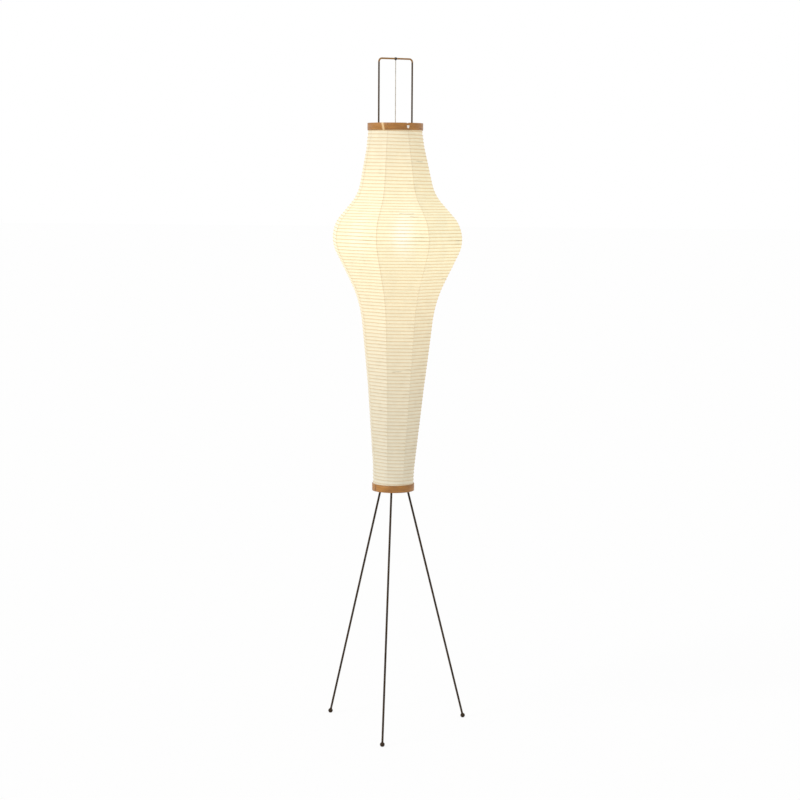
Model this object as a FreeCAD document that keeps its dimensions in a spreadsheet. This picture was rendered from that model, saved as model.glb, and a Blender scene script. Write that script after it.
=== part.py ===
import FreeCAD, Part
import math
import os
from FreeCAD import Placement, Rotation, Vector
from Sketcher import Constraint

# Paper lantern floor lamp. Millimetres, +Z up, standing on its three ball feet at z = 0.
# The origin is under the middle of the whole lamp's outline. The lamp's own upright axis stands
# a little behind it, because the front foot reaches further out than the lantern's belly does.

SIZES = {
    # stand
    "foot_circle_r": 219.6, "ball_r": 6.5, "ball_z": 6.2, "ball_hole_depth": 4.0,
    "leg_d": 5.0, "leg_top_r": 22.5, "hub_z": 743.0, "hub_thick": 4.0, "hub_disc_r": 31.0,
    "hub_arm_w": 13.0, "socket_wall": 1.8, "socket_len": 26.0, "fit_gap": 0.05,
    "rod_d": 4.0, "rod_spread": 100.0, "upright_socket_len": 18.0,
    "grommet_hole_r": 3.5, "grommet_neck_r": 6.0, "grommet_flange_r": 9.0, "grommet_lip": 1.6,
    # bridge and bail
    "bridge_z": 1268.0, "bridge_thick": 3.0, "bridge_w": 14.0, "ferrule_len": 18.0, "ferrule_wall": 1.4,
    "lamp_top_z": 1850.0, "bail_corner_r": 9.0, "bail_turn": 32.25,
    # cords over the shade
    "knot_r": 3.8, "knot_len": 7.0, "cord_d": 2.4, "hook_z": 1675.0, "hook_len": 12.0,
    "hook_thick": 1.6, "hook_wire": 1.5, "bridle_d": 1.8, "bridle_turn": 122.5, "bridle_hole_z": 1664.0,
    "bridle_rise": 2.0, "bead_r": 3.2,
    # rings
    "ring_wall": 2.0, "top_ring_r": 75.75, "top_ring_z": 1655.0, "top_ring_h": 19.5,
    "bottom_ring_r": 58.0, "bottom_ring_z": 667.3, "bottom_ring_h": 19.7,
    "lap_rise": 0.5, "top_lap_start": -111.5, "top_lap_angle": 96.0,
    "bottom_lap_start": -139.5, "bottom_lap_angle": 80.0,
    "notch_w": 5.0, "notch_depth": 1.3, "bracket_w": 8.0, "bracket_thick": 1.5, "bracket_z": 670.0,
    "bracket_lip": 8.0,
    # shade: line-and-arc profile of the gore corners, from the top ring down
    "shade_top_r": 73.2, "neck_r": 109.5, "neck_z": 1482.0, "neck_arc": 114.0,
    "belly_r": 204.0, "belly_z": 1377.0, "belly_arc": 90.5,
    "waist_r": 108.5, "waist_z": 1191.0, "waist_arc": 319.0,
    "knee_r": 81.0, "knee_z": 952.0, "knee_arc": 600.0, "shade_bottom_r": 55.9,
    "shade_tuck": 7.0, "gore_total": 8.0, "seam_turn": -55.75, "round_off": 80.0,
    "paper_thick": 0.8, "facet_tolerance": 1.1,
    # spiral rib
    "rib_turns": 104.0, "rib_width": 2.0, "rib_depth": 1.6, "rib_gap": 0.25, "rib_end": 3.0,
    # lamp holder and bulb
    "nipple_r": 5.0, "nipple_bore": 3.4, "nut_flats": 15.0, "nut_h": 3.0,
    "holder_z": 1277.5, "holder_r": 19.0, "holder_h": 44.0, "holder_wall": 2.2, "holder_cap_h": 14.0,
    "shell_bore": 13.6, "shell_h": 24.0, "shade_ring_r": 24.0, "shade_ring_h": 7.0,
    "bulb_z": 1370.0, "bulb_r": 30.0, "bulb_tangent": 30.0, "bulb_neck_r": 13.0,
    "bulb_cap_r": 13.1, "bulb_cap_h": 25.0, "bulb_seat_z": 1297.0,
}

doc = FreeCAD.newDocument("paper_lantern_floor_lamp")
sheet = doc.addObject("Spreadsheet::Sheet", "Sizes")
for row, (alias, value) in enumerate(SIZES.items(), start=1):
    sheet.set("A%d" % row, alias)
    sheet.set("B%d" % row, str(value))
    sheet.setAlias("B%d" % row, alias)
doc.recompute()

nodes = []


def size(alias):
    """The number that the sheet holds for one driving dimension."""
    return float(sheet.get(alias))


def axis_offset():
    """How far behind the origin the lamp's upright axis stands, in Y."""
    front_reach = size("foot_circle_r") + size("ball_r")
    seams = [math.radians(size("seam_turn") + 45 * k) for k in range(8)]
    back_reach = widest_corner() * max(math.sin(a) for a in seams)
    return (front_reach - back_reach) / 2


def name_node(obj, label, at=Placement()):
    """Names a finished sub-part and stands it on the lamp's axis."""
    obj.Label = label
    obj.Placement = Placement(Vector(0, axis_y, 0), Rotation()).multiply(at)
    nodes.append(obj)
    return obj


def turned(angle):
    """A turn about the lamp's axis, in degrees."""
    return Placement(Vector(), Rotation(Vector(0, 0, 1), angle))


def bind(obj, **formulas):
    """Binds properties of an object to formulas over the sheet's cells."""
    for prop, formula in formulas.items():
        obj.setExpression(prop, formula)
    return obj


def primitive(kind, name, at=Placement(), **formulas):
    """A Part primitive with its sizes bound to the sheet."""
    obj = doc.addObject("Part::" + kind, name)
    obj.Placement = at
    return bind(obj, **formulas)


def prism(name, sides, radius, low, height, at=Placement()):
    """An upright prism whose flats stand at a radius given by a formula."""
    obj = primitive("Prism", name, at.multiply(Placement(Vector(0, 0, low), Rotation())), Height=height,
                    Circumradius="(%s) / cos(180 deg / %d)" % (radius, sides))
    obj.Polygon = sides
    return obj


def flat_faces(a, b, c, d):
    """One face where four points are in a plane, or else a pair of triangles."""
    normal = (b - a).cross(c - a).normalize()
    if abs(normal.dot(d - a)) < 5e-8:
        return [Part.Face(Part.makePolygon([a, b, c, d, a]))]
    return [Part.Face(Part.makePolygon([a, b, c, a])), Part.Face(Part.makePolygon([a, c, d, a]))]


def skin(sections):
    """A closed solid with flat facets through sections that have the same number of points."""
    faces = [Part.Face(Part.makePolygon(end + end[:1])) for end in (sections[0], sections[-1])]
    count = len(sections[0])
    for near, far in zip(sections, sections[1:]):
        for i in range(count):
            j = (i + 1) % count
            faces += flat_faces(near[i], near[j], far[j], far[i])
    solid = Part.Solid(Part.Shell(faces))
    if not solid.isClosed():
        raise RuntimeError("a faceted solid is open")
    if solid.Volume < 0:
        solid.reverse()
    return solid


def barrel(name, sides, levels):
    """A turned form with flat facets, through regular polygons of (radius, height) each."""
    sections = []
    for radius, height in levels:
        sections.append([at_angle(radius, 360 * (k + 0.5) / sides, height) for k in range(sides)])
    form = doc.addObject("Part::Feature", name)
    form.Shape = skin(sections)
    return form


def cut(name, base, tool):
    """Base less tool."""
    obj = doc.addObject("Part::Cut", name)
    obj.Base = base
    obj.Tool = tool
    return obj


def group(name, members):
    """Several solids that share one node."""
    obj = doc.addObject("Part::Compound", name)
    obj.Links = members
    return obj


def body_with(name):
    """An empty PartDesign body."""
    return doc.addObject("PartDesign::Body", name)


def origin_plane(body, role):
    """One of a body's own origin planes, by its role."""
    return next(item for item in body.Origin.OriginFeatures if item.Role == role)


def sketch_on(body, name, role):
    """An empty sketch on one of the body's origin planes."""
    sketch = body.newObject("Sketcher::SketchObject", name)
    sketch.AttachmentSupport = [(origin_plane(body, role), "")]
    sketch.MapMode = "FlatFace"
    return sketch


def formula_value(formula):
    """Works a formula out from the sheet, for a sketch's first position."""
    sheet_values = {alias: size(alias) for alias in SIZES}
    total = 0.0
    for term in formula.replace("-", "+-").split("+"):
        term = term.strip()
        if not term:
            continue
        sign = 1.0
        if term.startswith("-"):
            sign = -1.0
            term = term[1:].strip()
        product = 1.0
        for factor in term.split("*"):
            factor = factor.strip().replace("Sizes.", "")
            product *= sheet_values[factor] if factor in sheet_values else float(factor)
        total += sign * product
    return total


def outline(sketch, corners):
    """Draws a closed outline of straight runs, each corner held by a formula for x and one for y."""
    spots = [Vector(formula_value(x), formula_value(y), 0) for x, y in corners]
    count = len(spots)
    for i in range(count):
        sketch.addGeometry(Part.LineSegment(spots[i], spots[(i + 1) % count]), False)
    for i in range(count):
        sketch.addConstraint(Constraint("Coincident", i, 2, (i + 1) % count, 1))
    for i, (x, y) in enumerate(corners):
        for kind, formula in (("DistanceX", x), ("DistanceY", y)):
            index = sketch.addConstraint(Constraint(kind, i, 1, formula_value(formula)))
            sketch.setExpression("Constraints[%d]" % index, formula)


def circle(sketch, radius, x="0", y="0"):
    """Draws a circle, its radius and centre held by formulas."""
    spot = Vector(formula_value(x), formula_value(y), 0)
    index = sketch.addGeometry(Part.Circle(spot, Vector(0, 0, 1), formula_value(radius)), False)
    held = sketch.addConstraint(Constraint("Radius", index, formula_value(radius)))
    sketch.setExpression("Constraints[%d]" % held, radius)
    for kind, formula in (("DistanceX", x), ("DistanceY", y)):
        held = sketch.addConstraint(Constraint(kind, index, 3, formula_value(formula)))
        sketch.setExpression("Constraints[%d]" % held, formula)


def revolve(body, name, corners, angle=360.0):
    """Adds a turned form to a body: an outline of radius and height, spun about Z."""
    sketch = sketch_on(body, name + "_outline", "XZ_Plane")
    outline(sketch, corners)
    turn = body.newObject("PartDesign::Revolution", name)
    turn.Profile = sketch
    turn.ReferenceAxis = (sketch, ["V_Axis"])
    turn.Angle = angle
    return turn


def pad(body, name, draw, low, height):
    """Adds a flat form: what draw() sketches, from height low upwards."""
    sketch = sketch_on(body, name + "_outline", "XY_Plane")
    sketch.setExpression("AttachmentOffset.Base.z", low)
    draw(sketch)
    feature = body.newObject("PartDesign::Pad", name)
    feature.Profile = sketch
    feature.setExpression("Length", height)
    return feature


def pocket(body, name, draw, low, height):
    """Cuts a flat form out of a body, from height low upwards."""
    sketch = sketch_on(body, name + "_outline", "XY_Plane")
    sketch.setExpression("AttachmentOffset.Base.z", low)
    draw(sketch)
    feature = body.newObject("PartDesign::Pocket", name)
    feature.Profile = sketch
    feature.Reversed = True
    feature.setExpression("Length", height)
    return feature


# ---------------------------------------------------------------------------------------------
# The shade's profile: (radius of a gore corner, height), from the top ring to the bottom ring
# ---------------------------------------------------------------------------------------------

def rounded_run(corners, radii):
    """Straight runs with a tangent arc at each inner corner, as one wire in the (radius, height) plane."""
    edges = []
    start = corners[0]
    for i, radius in enumerate(radii, start=1):
        corner = corners[i]
        back = (corners[i - 1] - corner).normalize()
        ahead = (corners[i + 1] - corner).normalize()
        half = back.getAngle(ahead) / 2
        reach = radius / math.tan(half)
        middle = (back + ahead).normalize()
        arc_start = corner + back * reach
        arc_end = corner + ahead * reach
        arc_middle = corner + middle * (radius / math.sin(half) - radius)
        edges.append(Part.LineSegment(start, arc_start).toShape())
        edges.append(Part.Arc(arc_start, arc_middle, arc_end).toShape())
        start = arc_end
    edges.append(Part.LineSegment(start, corners[-1]).toShape())
    return edges


def profile_edges():
    """The shade's profile between the two rings."""
    names = ("neck", "belly", "waist", "knee")
    corners = [Vector(size("shade_top_r"), size("top_ring_z"), 0)]
    corners += [Vector(size(n + "_r"), size(n + "_z"), 0) for n in names]
    corners.append(Vector(size("shade_bottom_r"), size("bottom_ring_z") + size("bottom_ring_h"), 0))
    return rounded_run(corners, [size(n + "_arc") for n in names])


def stations():
    """Heights where the gores change slope: arcs are cut so that no facet strays past the tolerance."""
    spots = [Vector(size("shade_top_r"), size("top_ring_z") + size("shade_tuck"), 0)]
    for edge in profile_edges():
        steps = 1
        if hasattr(edge.Curve, "Radius"):
            widest = math.sqrt(8 * edge.Curve.Radius * size("facet_tolerance"))
            steps = math.ceil(edge.Length / widest)
        for point in edge.discretize(Number=steps + 1)[:-1]:
            spots.append(point)
    bottom = size("bottom_ring_z") + size("bottom_ring_h")
    spots.append(Vector(size("shade_bottom_r"), bottom, 0))
    spots.append(Vector(size("shade_bottom_r"), bottom - size("shade_tuck"), 0))
    return with_round_off(spots)


def with_round_off(spots):
    """Adds heights near both rings, where the eight flats round off into the ring's circle."""
    low = size("bottom_ring_z") + size("bottom_ring_h")
    high = size("top_ring_z")
    extra = []
    for part in (0.33, 0.66, 1.0):
        extra += [low + part * size("round_off"), high - part * size("round_off")]
    for height in extra:
        if min(abs(height - s.y) for s in spots) > 4.0:
            spots.append(Vector(radius_on(sorted(spots, key=lambda s: -s.y), height), height, 0))
    return sorted(spots, key=lambda s: -s.y)


def radius_on(spots, height):
    """The corner radius at a height, straight between stations that run downwards."""
    for upper, lower in zip(spots, spots[1:]):
        if upper.y >= height >= lower.y:
            share = (upper.y - height) / (upper.y - lower.y)
            return upper.x + share * (lower.x - upper.x)
    return spots[0].x if height > spots[0].y else spots[-1].x


def slope_cosine(spots, height):
    """Cosine of the profile's lean from upright at a height."""
    for upper, lower in zip(spots, spots[1:]):
        if upper.y >= height >= lower.y:
            run = math.hypot(upper.x - lower.x, upper.y - lower.y)
            return (upper.y - lower.y) / run
    return 1.0


def roundness(height):
    """1 where the section is round, inside the rings, falling smoothly to 0 where it is eight-sided."""
    low = size("bottom_ring_z") + size("bottom_ring_h")
    high = size("top_ring_z")
    away = min(height - low, high - height) / size("round_off")
    share = min(max(1 - away, 0.0), 1.0)
    return share * share * (3 - 2 * share)


def flat_share(height):
    """Radius at the middle of a gore, as a share of the radius at its corners."""
    flat = math.cos(math.radians(180 / size("gore_total")))
    return flat + (1 - flat) * roundness(height)


def widest_corner():
    """Largest corner radius of the shade."""
    return max(spot.x for spot in stations())


profile = stations()
axis_y = axis_offset()


def at_angle(radius, angle, height):
    """A point by its radius, its angle in degrees and its height."""
    return Vector(radius * math.cos(math.radians(angle)), radius * math.sin(math.radians(angle)), height)


# ---------------------------------------------------------------------------------------------
# Stand: feet, legs, hub
# ---------------------------------------------------------------------------------------------

def leg_lean():
    """Lean of a leg from upright, in degrees."""
    out = size("foot_circle_r") - size("leg_top_r")
    return math.degrees(math.atan2(out, size("hub_z") - size("ball_z")))


def along_leg(angle, distance):
    """Placement on a leg's axis, Z along the leg, at a distance up from the foot's centre."""
    lean = Placement(Vector(), Rotation(Vector(0, 1, 0), -leg_lean()))
    foot = Placement(Vector(size("foot_circle_r"), 0, size("ball_z")), Rotation())
    up = Placement(Vector(0, 0, distance), Rotation())
    return turned(angle).multiply(foot).multiply(lean).multiply(up)


LEGS = {"leg_front": -90.0, "leg_right": 30.0, "leg_left": 150.0}


def make_legs():
    """Three straight rods from the ball feet to the hub."""
    slant = (size("hub_z") - size("ball_z")) / math.cos(math.radians(leg_lean()))
    start = size("ball_r") - size("ball_hole_depth")
    clear_of_plate = size("leg_d") / 2 * math.tan(math.radians(leg_lean())) + size("fit_gap")
    for label, angle in LEGS.items():
        rod = primitive("Cylinder", label + "_rod", Radius="Sizes.leg_d / 2")
        rod.Height = slant - start - clear_of_plate
        name_node(rod, label, along_leg(angle, start))


def make_feet():
    """Ball feet, each drilled for its leg and ground to a small flat underneath."""
    r, centre = size("ball_r"), size("ball_z")
    levels = [(math.sqrt(r * r - centre * centre), 0)]
    for latitude in (-56, -38, -19, 0, 19, 38, 56, 72):
        turn = math.radians(latitude)
        levels.append((r * math.cos(turn), centre + r * math.sin(turn)))
    levels.append((r * math.cos(math.radians(85)), centre + r))
    balls = []
    for label, angle in LEGS.items():
        ball = barrel(label + "_ball", 20, levels)
        ball.Placement = turned(angle).multiply(Placement(Vector(size("foot_circle_r"), 0, 0), Rotation()))
        hole = prism(label + "_hole", 12, "Sizes.leg_d / 2 + Sizes.fit_gap", 0, "Sizes.ball_hole_depth * 2",
                     along_leg(angle, size("ball_r") - size("ball_hole_depth")))
        balls.append(cut(label + "_foot", ball, hole))
    name_node(group("foot_group", balls), "foot_balls")


def hub_arm(sketch):
    """Outline of the arm that carries both uprights: a bar with round ends."""
    half = formula_value("Sizes.rod_spread * 0.5")
    r = formula_value("Sizes.hub_arm_w * 0.5")
    bar_with_round_ends(sketch, half, r, "Sizes.rod_spread * 0.5", "Sizes.hub_arm_w * 0.5")


def bar_with_round_ends(sketch, half, r, half_formula, r_formula):
    """Two straight sides and two half-round ends, about the sketch's middle."""
    add = sketch.addGeometry
    add(Part.LineSegment(Vector(-half, r, 0), Vector(half, r, 0)), False)
    right_end = Part.Circle(Vector(half, 0, 0), Vector(0, 0, 1), r)
    add(Part.ArcOfCircle(right_end, -math.pi / 2, math.pi / 2), False)
    add(Part.LineSegment(Vector(half, -r, 0), Vector(-half, -r, 0)), False)
    left_end = Part.Circle(Vector(-half, 0, 0), Vector(0, 0, 1), r)
    add(Part.ArcOfCircle(left_end, math.pi / 2, 3 * math.pi / 2), False)
    constrain = sketch.addConstraint
    constrain(Constraint("Tangent", 0, 2, 1, 2))
    constrain(Constraint("Tangent", 1, 1, 2, 1))
    constrain(Constraint("Tangent", 2, 2, 3, 2))
    constrain(Constraint("Tangent", 3, 1, 0, 1))
    constrain(Constraint("Horizontal", 0))
    held = constrain(Constraint("Radius", 1, r))
    sketch.setExpression("Constraints[%d]" % held, r_formula)
    for arc, sign in ((1, "1"), (3, "-1")):
        held = constrain(Constraint("DistanceX", arc, 3, float(sign) * half))
        sketch.setExpression("Constraints[%d]" % held, sign + " * " + half_formula)
    constrain(Constraint("PointOnObject", 1, 3, -1))


def make_hub():
    """Pressed plate where the legs meet: a disc with an arm out to each upright."""
    body = body_with("hub_body")
    pad(body, "hub_disc", lambda s: circle(s, "Sizes.hub_disc_r"), "Sizes.hub_z", "Sizes.hub_thick")
    pad(body, "hub_arm", hub_arm, "Sizes.hub_z", "Sizes.hub_thick")
    doc.recompute()
    pocket(body, "hub_hole", lambda s: circle(s, "Sizes.grommet_neck_r"), "Sizes.hub_z", "Sizes.hub_thick")
    name_node(body, "hub_plate", turned(size("bail_turn")))


def make_leg_sockets():
    """Short tubes under the plate, along the legs, mitred flat against it."""
    tubes = []
    slant = (size("hub_z") - size("ball_z")) / math.cos(math.radians(leg_lean()))
    spare = size("leg_d")
    for label, angle in LEGS.items():
        outer = prism(label + "_socket", 12, "Sizes.leg_d / 2 + Sizes.socket_wall", 0,
                      "Sizes.socket_len + Sizes.leg_d", along_leg(angle, slant - size("socket_len")))
        low_end = slant - size("socket_len") - spare
        bore = prism(label + "_bore", 12, "Sizes.leg_d / 2 + Sizes.fit_gap", 0,
                     "Sizes.socket_len + 3 * Sizes.leg_d", along_leg(angle, low_end))
        tube = cut(label + "_tube", outer, bore)
        above = primitive("Box", label + "_above", Length="Sizes.hub_disc_r * 4",
                          Width="Sizes.hub_disc_r * 4", Height="Sizes.socket_len")
        corner = Vector(-size("hub_disc_r") * 2, -size("hub_disc_r") * 2, size("hub_z"))
        above.Placement = Placement(corner, Rotation())
        tubes.append(cut(label + "_mitred", tube, above))
    name_node(group("leg_socket_group", tubes), "leg_sockets")


def tube_at(name, x, low, length, outer, bore):
    """An upright tube at distance x along the bail's plane, from height low up."""
    at = Placement(Vector(x, 0, 0), Rotation())
    wall = prism(name + "_wall", 12, outer, low, length, at)
    hole = prism(name + "_hole", 12, bore, low, length, at)
    return cut(name, wall, hole)


def make_upright_sockets():
    """Two tubes on the plate that take the lower uprights."""
    half = size("rod_spread") / 2
    top = size("hub_z") + size("hub_thick")
    tubes = [tube_at("upright_socket_%d" % i, x, top, "Sizes.upright_socket_len",
                     "Sizes.rod_d / 2 + Sizes.socket_wall", "Sizes.rod_d / 2 + Sizes.fit_gap")
             for i, x in enumerate((-half, half), start=1)]
    name_node(group("upright_socket_group", tubes), "upright_sockets", turned(size("bail_turn")))


def make_grommet():
    """Rubber grommet in the plate's middle, where the mains lead comes in from below."""
    under = size("hub_z") - size("fit_gap")
    over = size("hub_z") + size("hub_thick") + size("fit_gap")
    lip = size("grommet_lip")
    low = prism("grommet_low", 20, "Sizes.grommet_flange_r", under - lip, "Sizes.grommet_lip")
    high = prism("grommet_high", 20, "Sizes.grommet_flange_r", over, "Sizes.grommet_lip")
    neck = prism("grommet_neck", 20, "Sizes.grommet_neck_r * 0.97", under - lip, "1")
    neck.setExpression("Height", None)
    neck.Height = over - under + 2 * lip
    whole = doc.addObject("Part::MultiFuse", "grommet_whole")
    whole.Shapes = [low, high, neck]
    hole = primitive("Cylinder", "grommet_hole", Placement(Vector(0, 0, under - 2 * lip), Rotation()),
                     Radius="Sizes.grommet_hole_r")
    hole.Height = over - under + 4 * lip
    name_node(cut("grommet", whole, hole), "cable_grommet")


# ---------------------------------------------------------------------------------------------
# Frame above the hub: uprights, bridge, bail
# ---------------------------------------------------------------------------------------------

def make_uprights():
    """Two lower uprights, from the plate to the bridge."""
    half = size("rod_spread") / 2
    for label, side in (("upright_left", -1), ("upright_right", 1)):
        rod = primitive("Cylinder", label + "_rod", Radius="Sizes.rod_d / 2",
                        Height="Sizes.bridge_z - Sizes.hub_z - Sizes.hub_thick")
        low = Placement(Vector(side * half, 0, size("hub_z") + size("hub_thick")), Rotation())
        name_node(rod, label, turned(size("bail_turn")).multiply(low))


def make_bridge():
    """Flat bar across the uprights that carries the lamp holder, with a tube above and below each end."""
    body = body_with("bridge_body")
    half = size("rod_spread") / 2
    r = size("bridge_w") / 2
    draw = lambda s: bar_with_round_ends(s, half, r, "Sizes.rod_spread * 0.5", "Sizes.bridge_w * 0.5")
    pad(body, "bridge_plate", draw, "Sizes.bridge_z", "Sizes.bridge_thick")
    doc.recompute()
    hole = lambda s: circle(s, "1.03 * Sizes.nipple_r")
    pocket(body, "bridge_hole", hole, "Sizes.bridge_z", "Sizes.bridge_thick")
    name_node(body, "bridge_bar", turned(size("bail_turn")))
    tubes = []
    lows = (size("bridge_z") - size("ferrule_len"), size("bridge_z") + size("bridge_thick"))
    for i, x in enumerate((-half, half)):
        for j, low in enumerate(lows):
            tubes.append(tube_at("ferrule_%d_%d" % (i, j), x, low, "Sizes.ferrule_len",
                                 "Sizes.rod_d / 2 + Sizes.ferrule_wall", "Sizes.rod_d / 2 + Sizes.fit_gap"))
    name_node(group("ferrule_group", tubes), "bridge_ferrules", turned(size("bail_turn")))


def mitred_wire(path, radius):
    """A bent wire of steady thickness along a path in the XZ plane, with a mitre at each of its points."""
    rings = []
    for i, point in enumerate(path):
        back = (point - path[i - 1]).normalize() if i else None
        ahead = (path[i + 1] - point).normalize() if i + 1 < len(path) else None
        along = ((back or ahead) + (ahead or back)).normalize()
        stretch = 1 / along.dot(back or ahead)
        side = Vector(0, 1, 0)
        up = along.cross(side).normalize()
        turns = [2 * math.pi * (k + 0.5) / 12 for k in range(12)]
        points = []
        for t in turns:
            points.append(point + side * (radius * math.cos(t)) + up * (radius * stretch * math.sin(t)))
        rings.append(points)
    return skin(rings)


def make_bail():
    """One bent wire: two uprights out of the bridge and the cross bar over the lantern."""
    half = size("rod_spread") / 2
    low = size("bridge_z") + size("bridge_thick")
    top = size("lamp_top_z") - size("rod_d") / 2
    r = size("bail_corner_r")
    path = [Vector(-half, 0, low)]
    for side, turns in ((-1, (180, 157.5, 135, 112.5, 90)), (1, (90, 67.5, 45, 22.5, 0))):
        for turn in turns:
            path.append(Vector(side * (half - r) + r * math.cos(math.radians(turn)), 0,
                               top - r + r * math.sin(math.radians(turn))))
    path.append(Vector(half, 0, low))
    wire = doc.addObject("Part::Feature", "bail_wire")
    wire.Shape = mitred_wire(path, size("rod_d") / 2)
    name_node(wire, "bail", turned(size("bail_turn")))


# ---------------------------------------------------------------------------------------------
# Cords that hold the shade up
# ---------------------------------------------------------------------------------------------

def make_bar_knot():
    """Dark whipping round the middle of the cross bar, thicker in its middle."""
    r, half = size("knot_r"), size("knot_len") / 2
    form = barrel("knot_form", 12, [(0.75 * r, -half), (r, -0.4 * half), (r, 0.4 * half), (0.75 * r, half)])
    hole = prism("knot_hole", 12, "Sizes.rod_d / 2 + Sizes.fit_gap", -size("knot_len"), "Sizes.knot_len * 2")
    bar = Placement(Vector(0, 0, size("lamp_top_z") - size("rod_d") / 2), Rotation(Vector(0, 1, 0), 90))
    name_node(cut("knot", form, hole), "bar_knot", turned(size("bail_turn")).multiply(bar))


def make_hanging_cord():
    """The straight cord from the knot down to the hook, pulled tight by the shade's weight."""
    low = size("hook_z")
    high = size("lamp_top_z") - size("rod_d") / 2 - size("knot_r") - size("fit_gap")
    cord = primitive("Cylinder", "cord_run", Radius="Sizes.cord_d / 2")
    cord.Height = high - low
    name_node(cord, "hanging_string", Placement(Vector(0, 0, low), Rotation()))


def make_hook():
    """Flat bent hook on the cord's end. Its bend opens across the bridle, which lies in it."""
    w = size("hook_wire")
    inner = size("bridle_d") / 2 + size("fit_gap") * 8
    outer = inner + w
    eye_z = size("hook_z")
    bend_z = hook_bend_z()
    body = body_with("hook_body")
    sketch = sketch_on(body, "hook_outline", "XZ_Plane")
    tip = bend_z + size("bridle_d")
    head = eye_z - size("fit_gap")
    spots = [Vector(-outer, bend_z, 0), Vector(-outer, head, 0), Vector(w, head, 0), Vector(w, head - w, 0),
             Vector(-inner, head - w, 0), Vector(-inner, bend_z, 0)]
    for a, b in zip(spots, spots[1:]):
        sketch.addGeometry(Part.LineSegment(a, b), False)
    sketch.addGeometry(Part.Arc(spots[-1], Vector(0, bend_z - inner, 0), Vector(inner, bend_z, 0)), False)
    sketch.addGeometry(Part.LineSegment(Vector(inner, bend_z, 0), Vector(inner, tip, 0)), False)
    sketch.addGeometry(Part.LineSegment(Vector(inner, tip, 0), Vector(outer, tip, 0)), False)
    sketch.addGeometry(Part.LineSegment(Vector(outer, tip, 0), Vector(outer, bend_z, 0)), False)
    sketch.addGeometry(Part.Arc(Vector(outer, bend_z, 0), Vector(0, bend_z - outer, 0), spots[0]), False)
    plate = body.newObject("PartDesign::Pad", "hook_plate")
    plate.Profile = sketch
    plate.Midplane = True
    plate.setExpression("Length", "Sizes.hook_thick")
    name_node(body, "string_hook", turned(size("bridle_turn") + 90))


def hook_bend_z():
    """Height of the bridle's middle, where it lies in the hook's bend."""
    return size("bridle_hole_z") + size("bridle_rise")


def make_bridle():
    """Cord across the top ring, out through a hole each side, lifted at its middle by the hook."""
    reach = size("top_ring_r") + size("fit_gap")
    hole_z = size("bridle_hole_z")
    middle = hook_bend_z()
    path = [Vector(-reach, 0, hole_z), Vector(-1.5, 0, middle)]
    path += [Vector(1.5, 0, middle), Vector(reach, 0, hole_z)]
    cord = doc.addObject("Part::Feature", "bridle_cord")
    cord.Shape = mitred_wire(path, size("bridle_d") / 2)
    name_node(cord, "bridle_string", turned(size("bridle_turn")))
    beads = []
    for side in (-1, 1):
        r = size("bead_r")
        bead = barrel("bead_%d" % (side + 1), 12, [(0.62 * r, 0), (r, 0.5 * r), (r, r), (0.55 * r, 1.5 * r)])
        spot = Vector(side * (reach + size("fit_gap")), 0, hole_z)
        bead.Placement = Placement(spot, Rotation(Vector(0, 1, 0), 90 * side))
        beads.append(bead)
    name_node(group("bead_group", beads), "bridle_beads", turned(size("bridle_turn")))


# ---------------------------------------------------------------------------------------------
# Bentwood rings and the brackets under the lower one
# ---------------------------------------------------------------------------------------------

def hoop(name, radius, low, height, lap_start, lap_angle):
    """A bent strip of wood, a little thicker where its ends are lapped."""
    body = body_with(name)
    inner = radius + " - Sizes.ring_wall"
    high = low + " + " + height
    revolve(body, name + "_strip", [(inner, low), (radius, low), (radius, high), (inner, high)])
    sketch = sketch_on(body, name + "_lap_outline", "XZ_Plane")
    outline(sketch, [(radius + " - 0.5 * Sizes.ring_wall", low), (radius + " + Sizes.lap_rise", low),
                     (radius + " + Sizes.lap_rise", high), (radius + " - 0.5 * Sizes.ring_wall", high)])
    sketch.AttachmentOffset = Placement()
    lap = body.newObject("PartDesign::Revolution", name + "_lap")
    lap.Profile = sketch
    lap.ReferenceAxis = (sketch, ["V_Axis"])
    lap.setExpression("Angle", lap_angle)
    return body


def make_rings():
    """Top ring with its cord holes and notches, and the bottom ring."""
    top = hoop("top_hoop", "Sizes.top_ring_r", "Sizes.top_ring_z", "Sizes.top_ring_h",
               "top_lap_start", "Sizes.top_lap_angle")
    start = size("top_lap_start") + size("top_lap_angle")
    drill = primitive("Cylinder", "bridle_drill", Radius="Sizes.bridle_d / 2 + Sizes.fit_gap * 10",
                      Height="Sizes.top_ring_r * 4")
    side = Vector(-size("top_ring_r") * 2, 0, size("bridle_hole_z"))
    across = Placement(side, Rotation(Vector(0, 1, 0), 90))
    drill.Placement = turned(size("bridle_turn") - start).multiply(across)
    notch = primitive("Box", "rim_notch", Length="Sizes.top_ring_r * 4", Width="Sizes.notch_w",
                      Height="Sizes.notch_depth * 2")
    rim = size("top_ring_z") + size("top_ring_h") - size("notch_depth")
    corner = Placement(Vector(-size("top_ring_r") * 2, -size("notch_w") / 2, rim), Rotation())
    notch.Placement = turned(size("bridle_turn") - start).multiply(corner)
    drilled = cut("top_hoop_drilled", top, drill)
    name_node(cut("top_hoop_notched", drilled, notch), "top_ring", turned(start))
    bottom = hoop("bottom_hoop", "Sizes.bottom_ring_r", "Sizes.bottom_ring_z", "Sizes.bottom_ring_h",
                  "bottom_lap_start", "Sizes.bottom_lap_angle")
    name_node(bottom, "bottom_ring", turned(size("bottom_lap_start") + size("bottom_lap_angle")))


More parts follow.
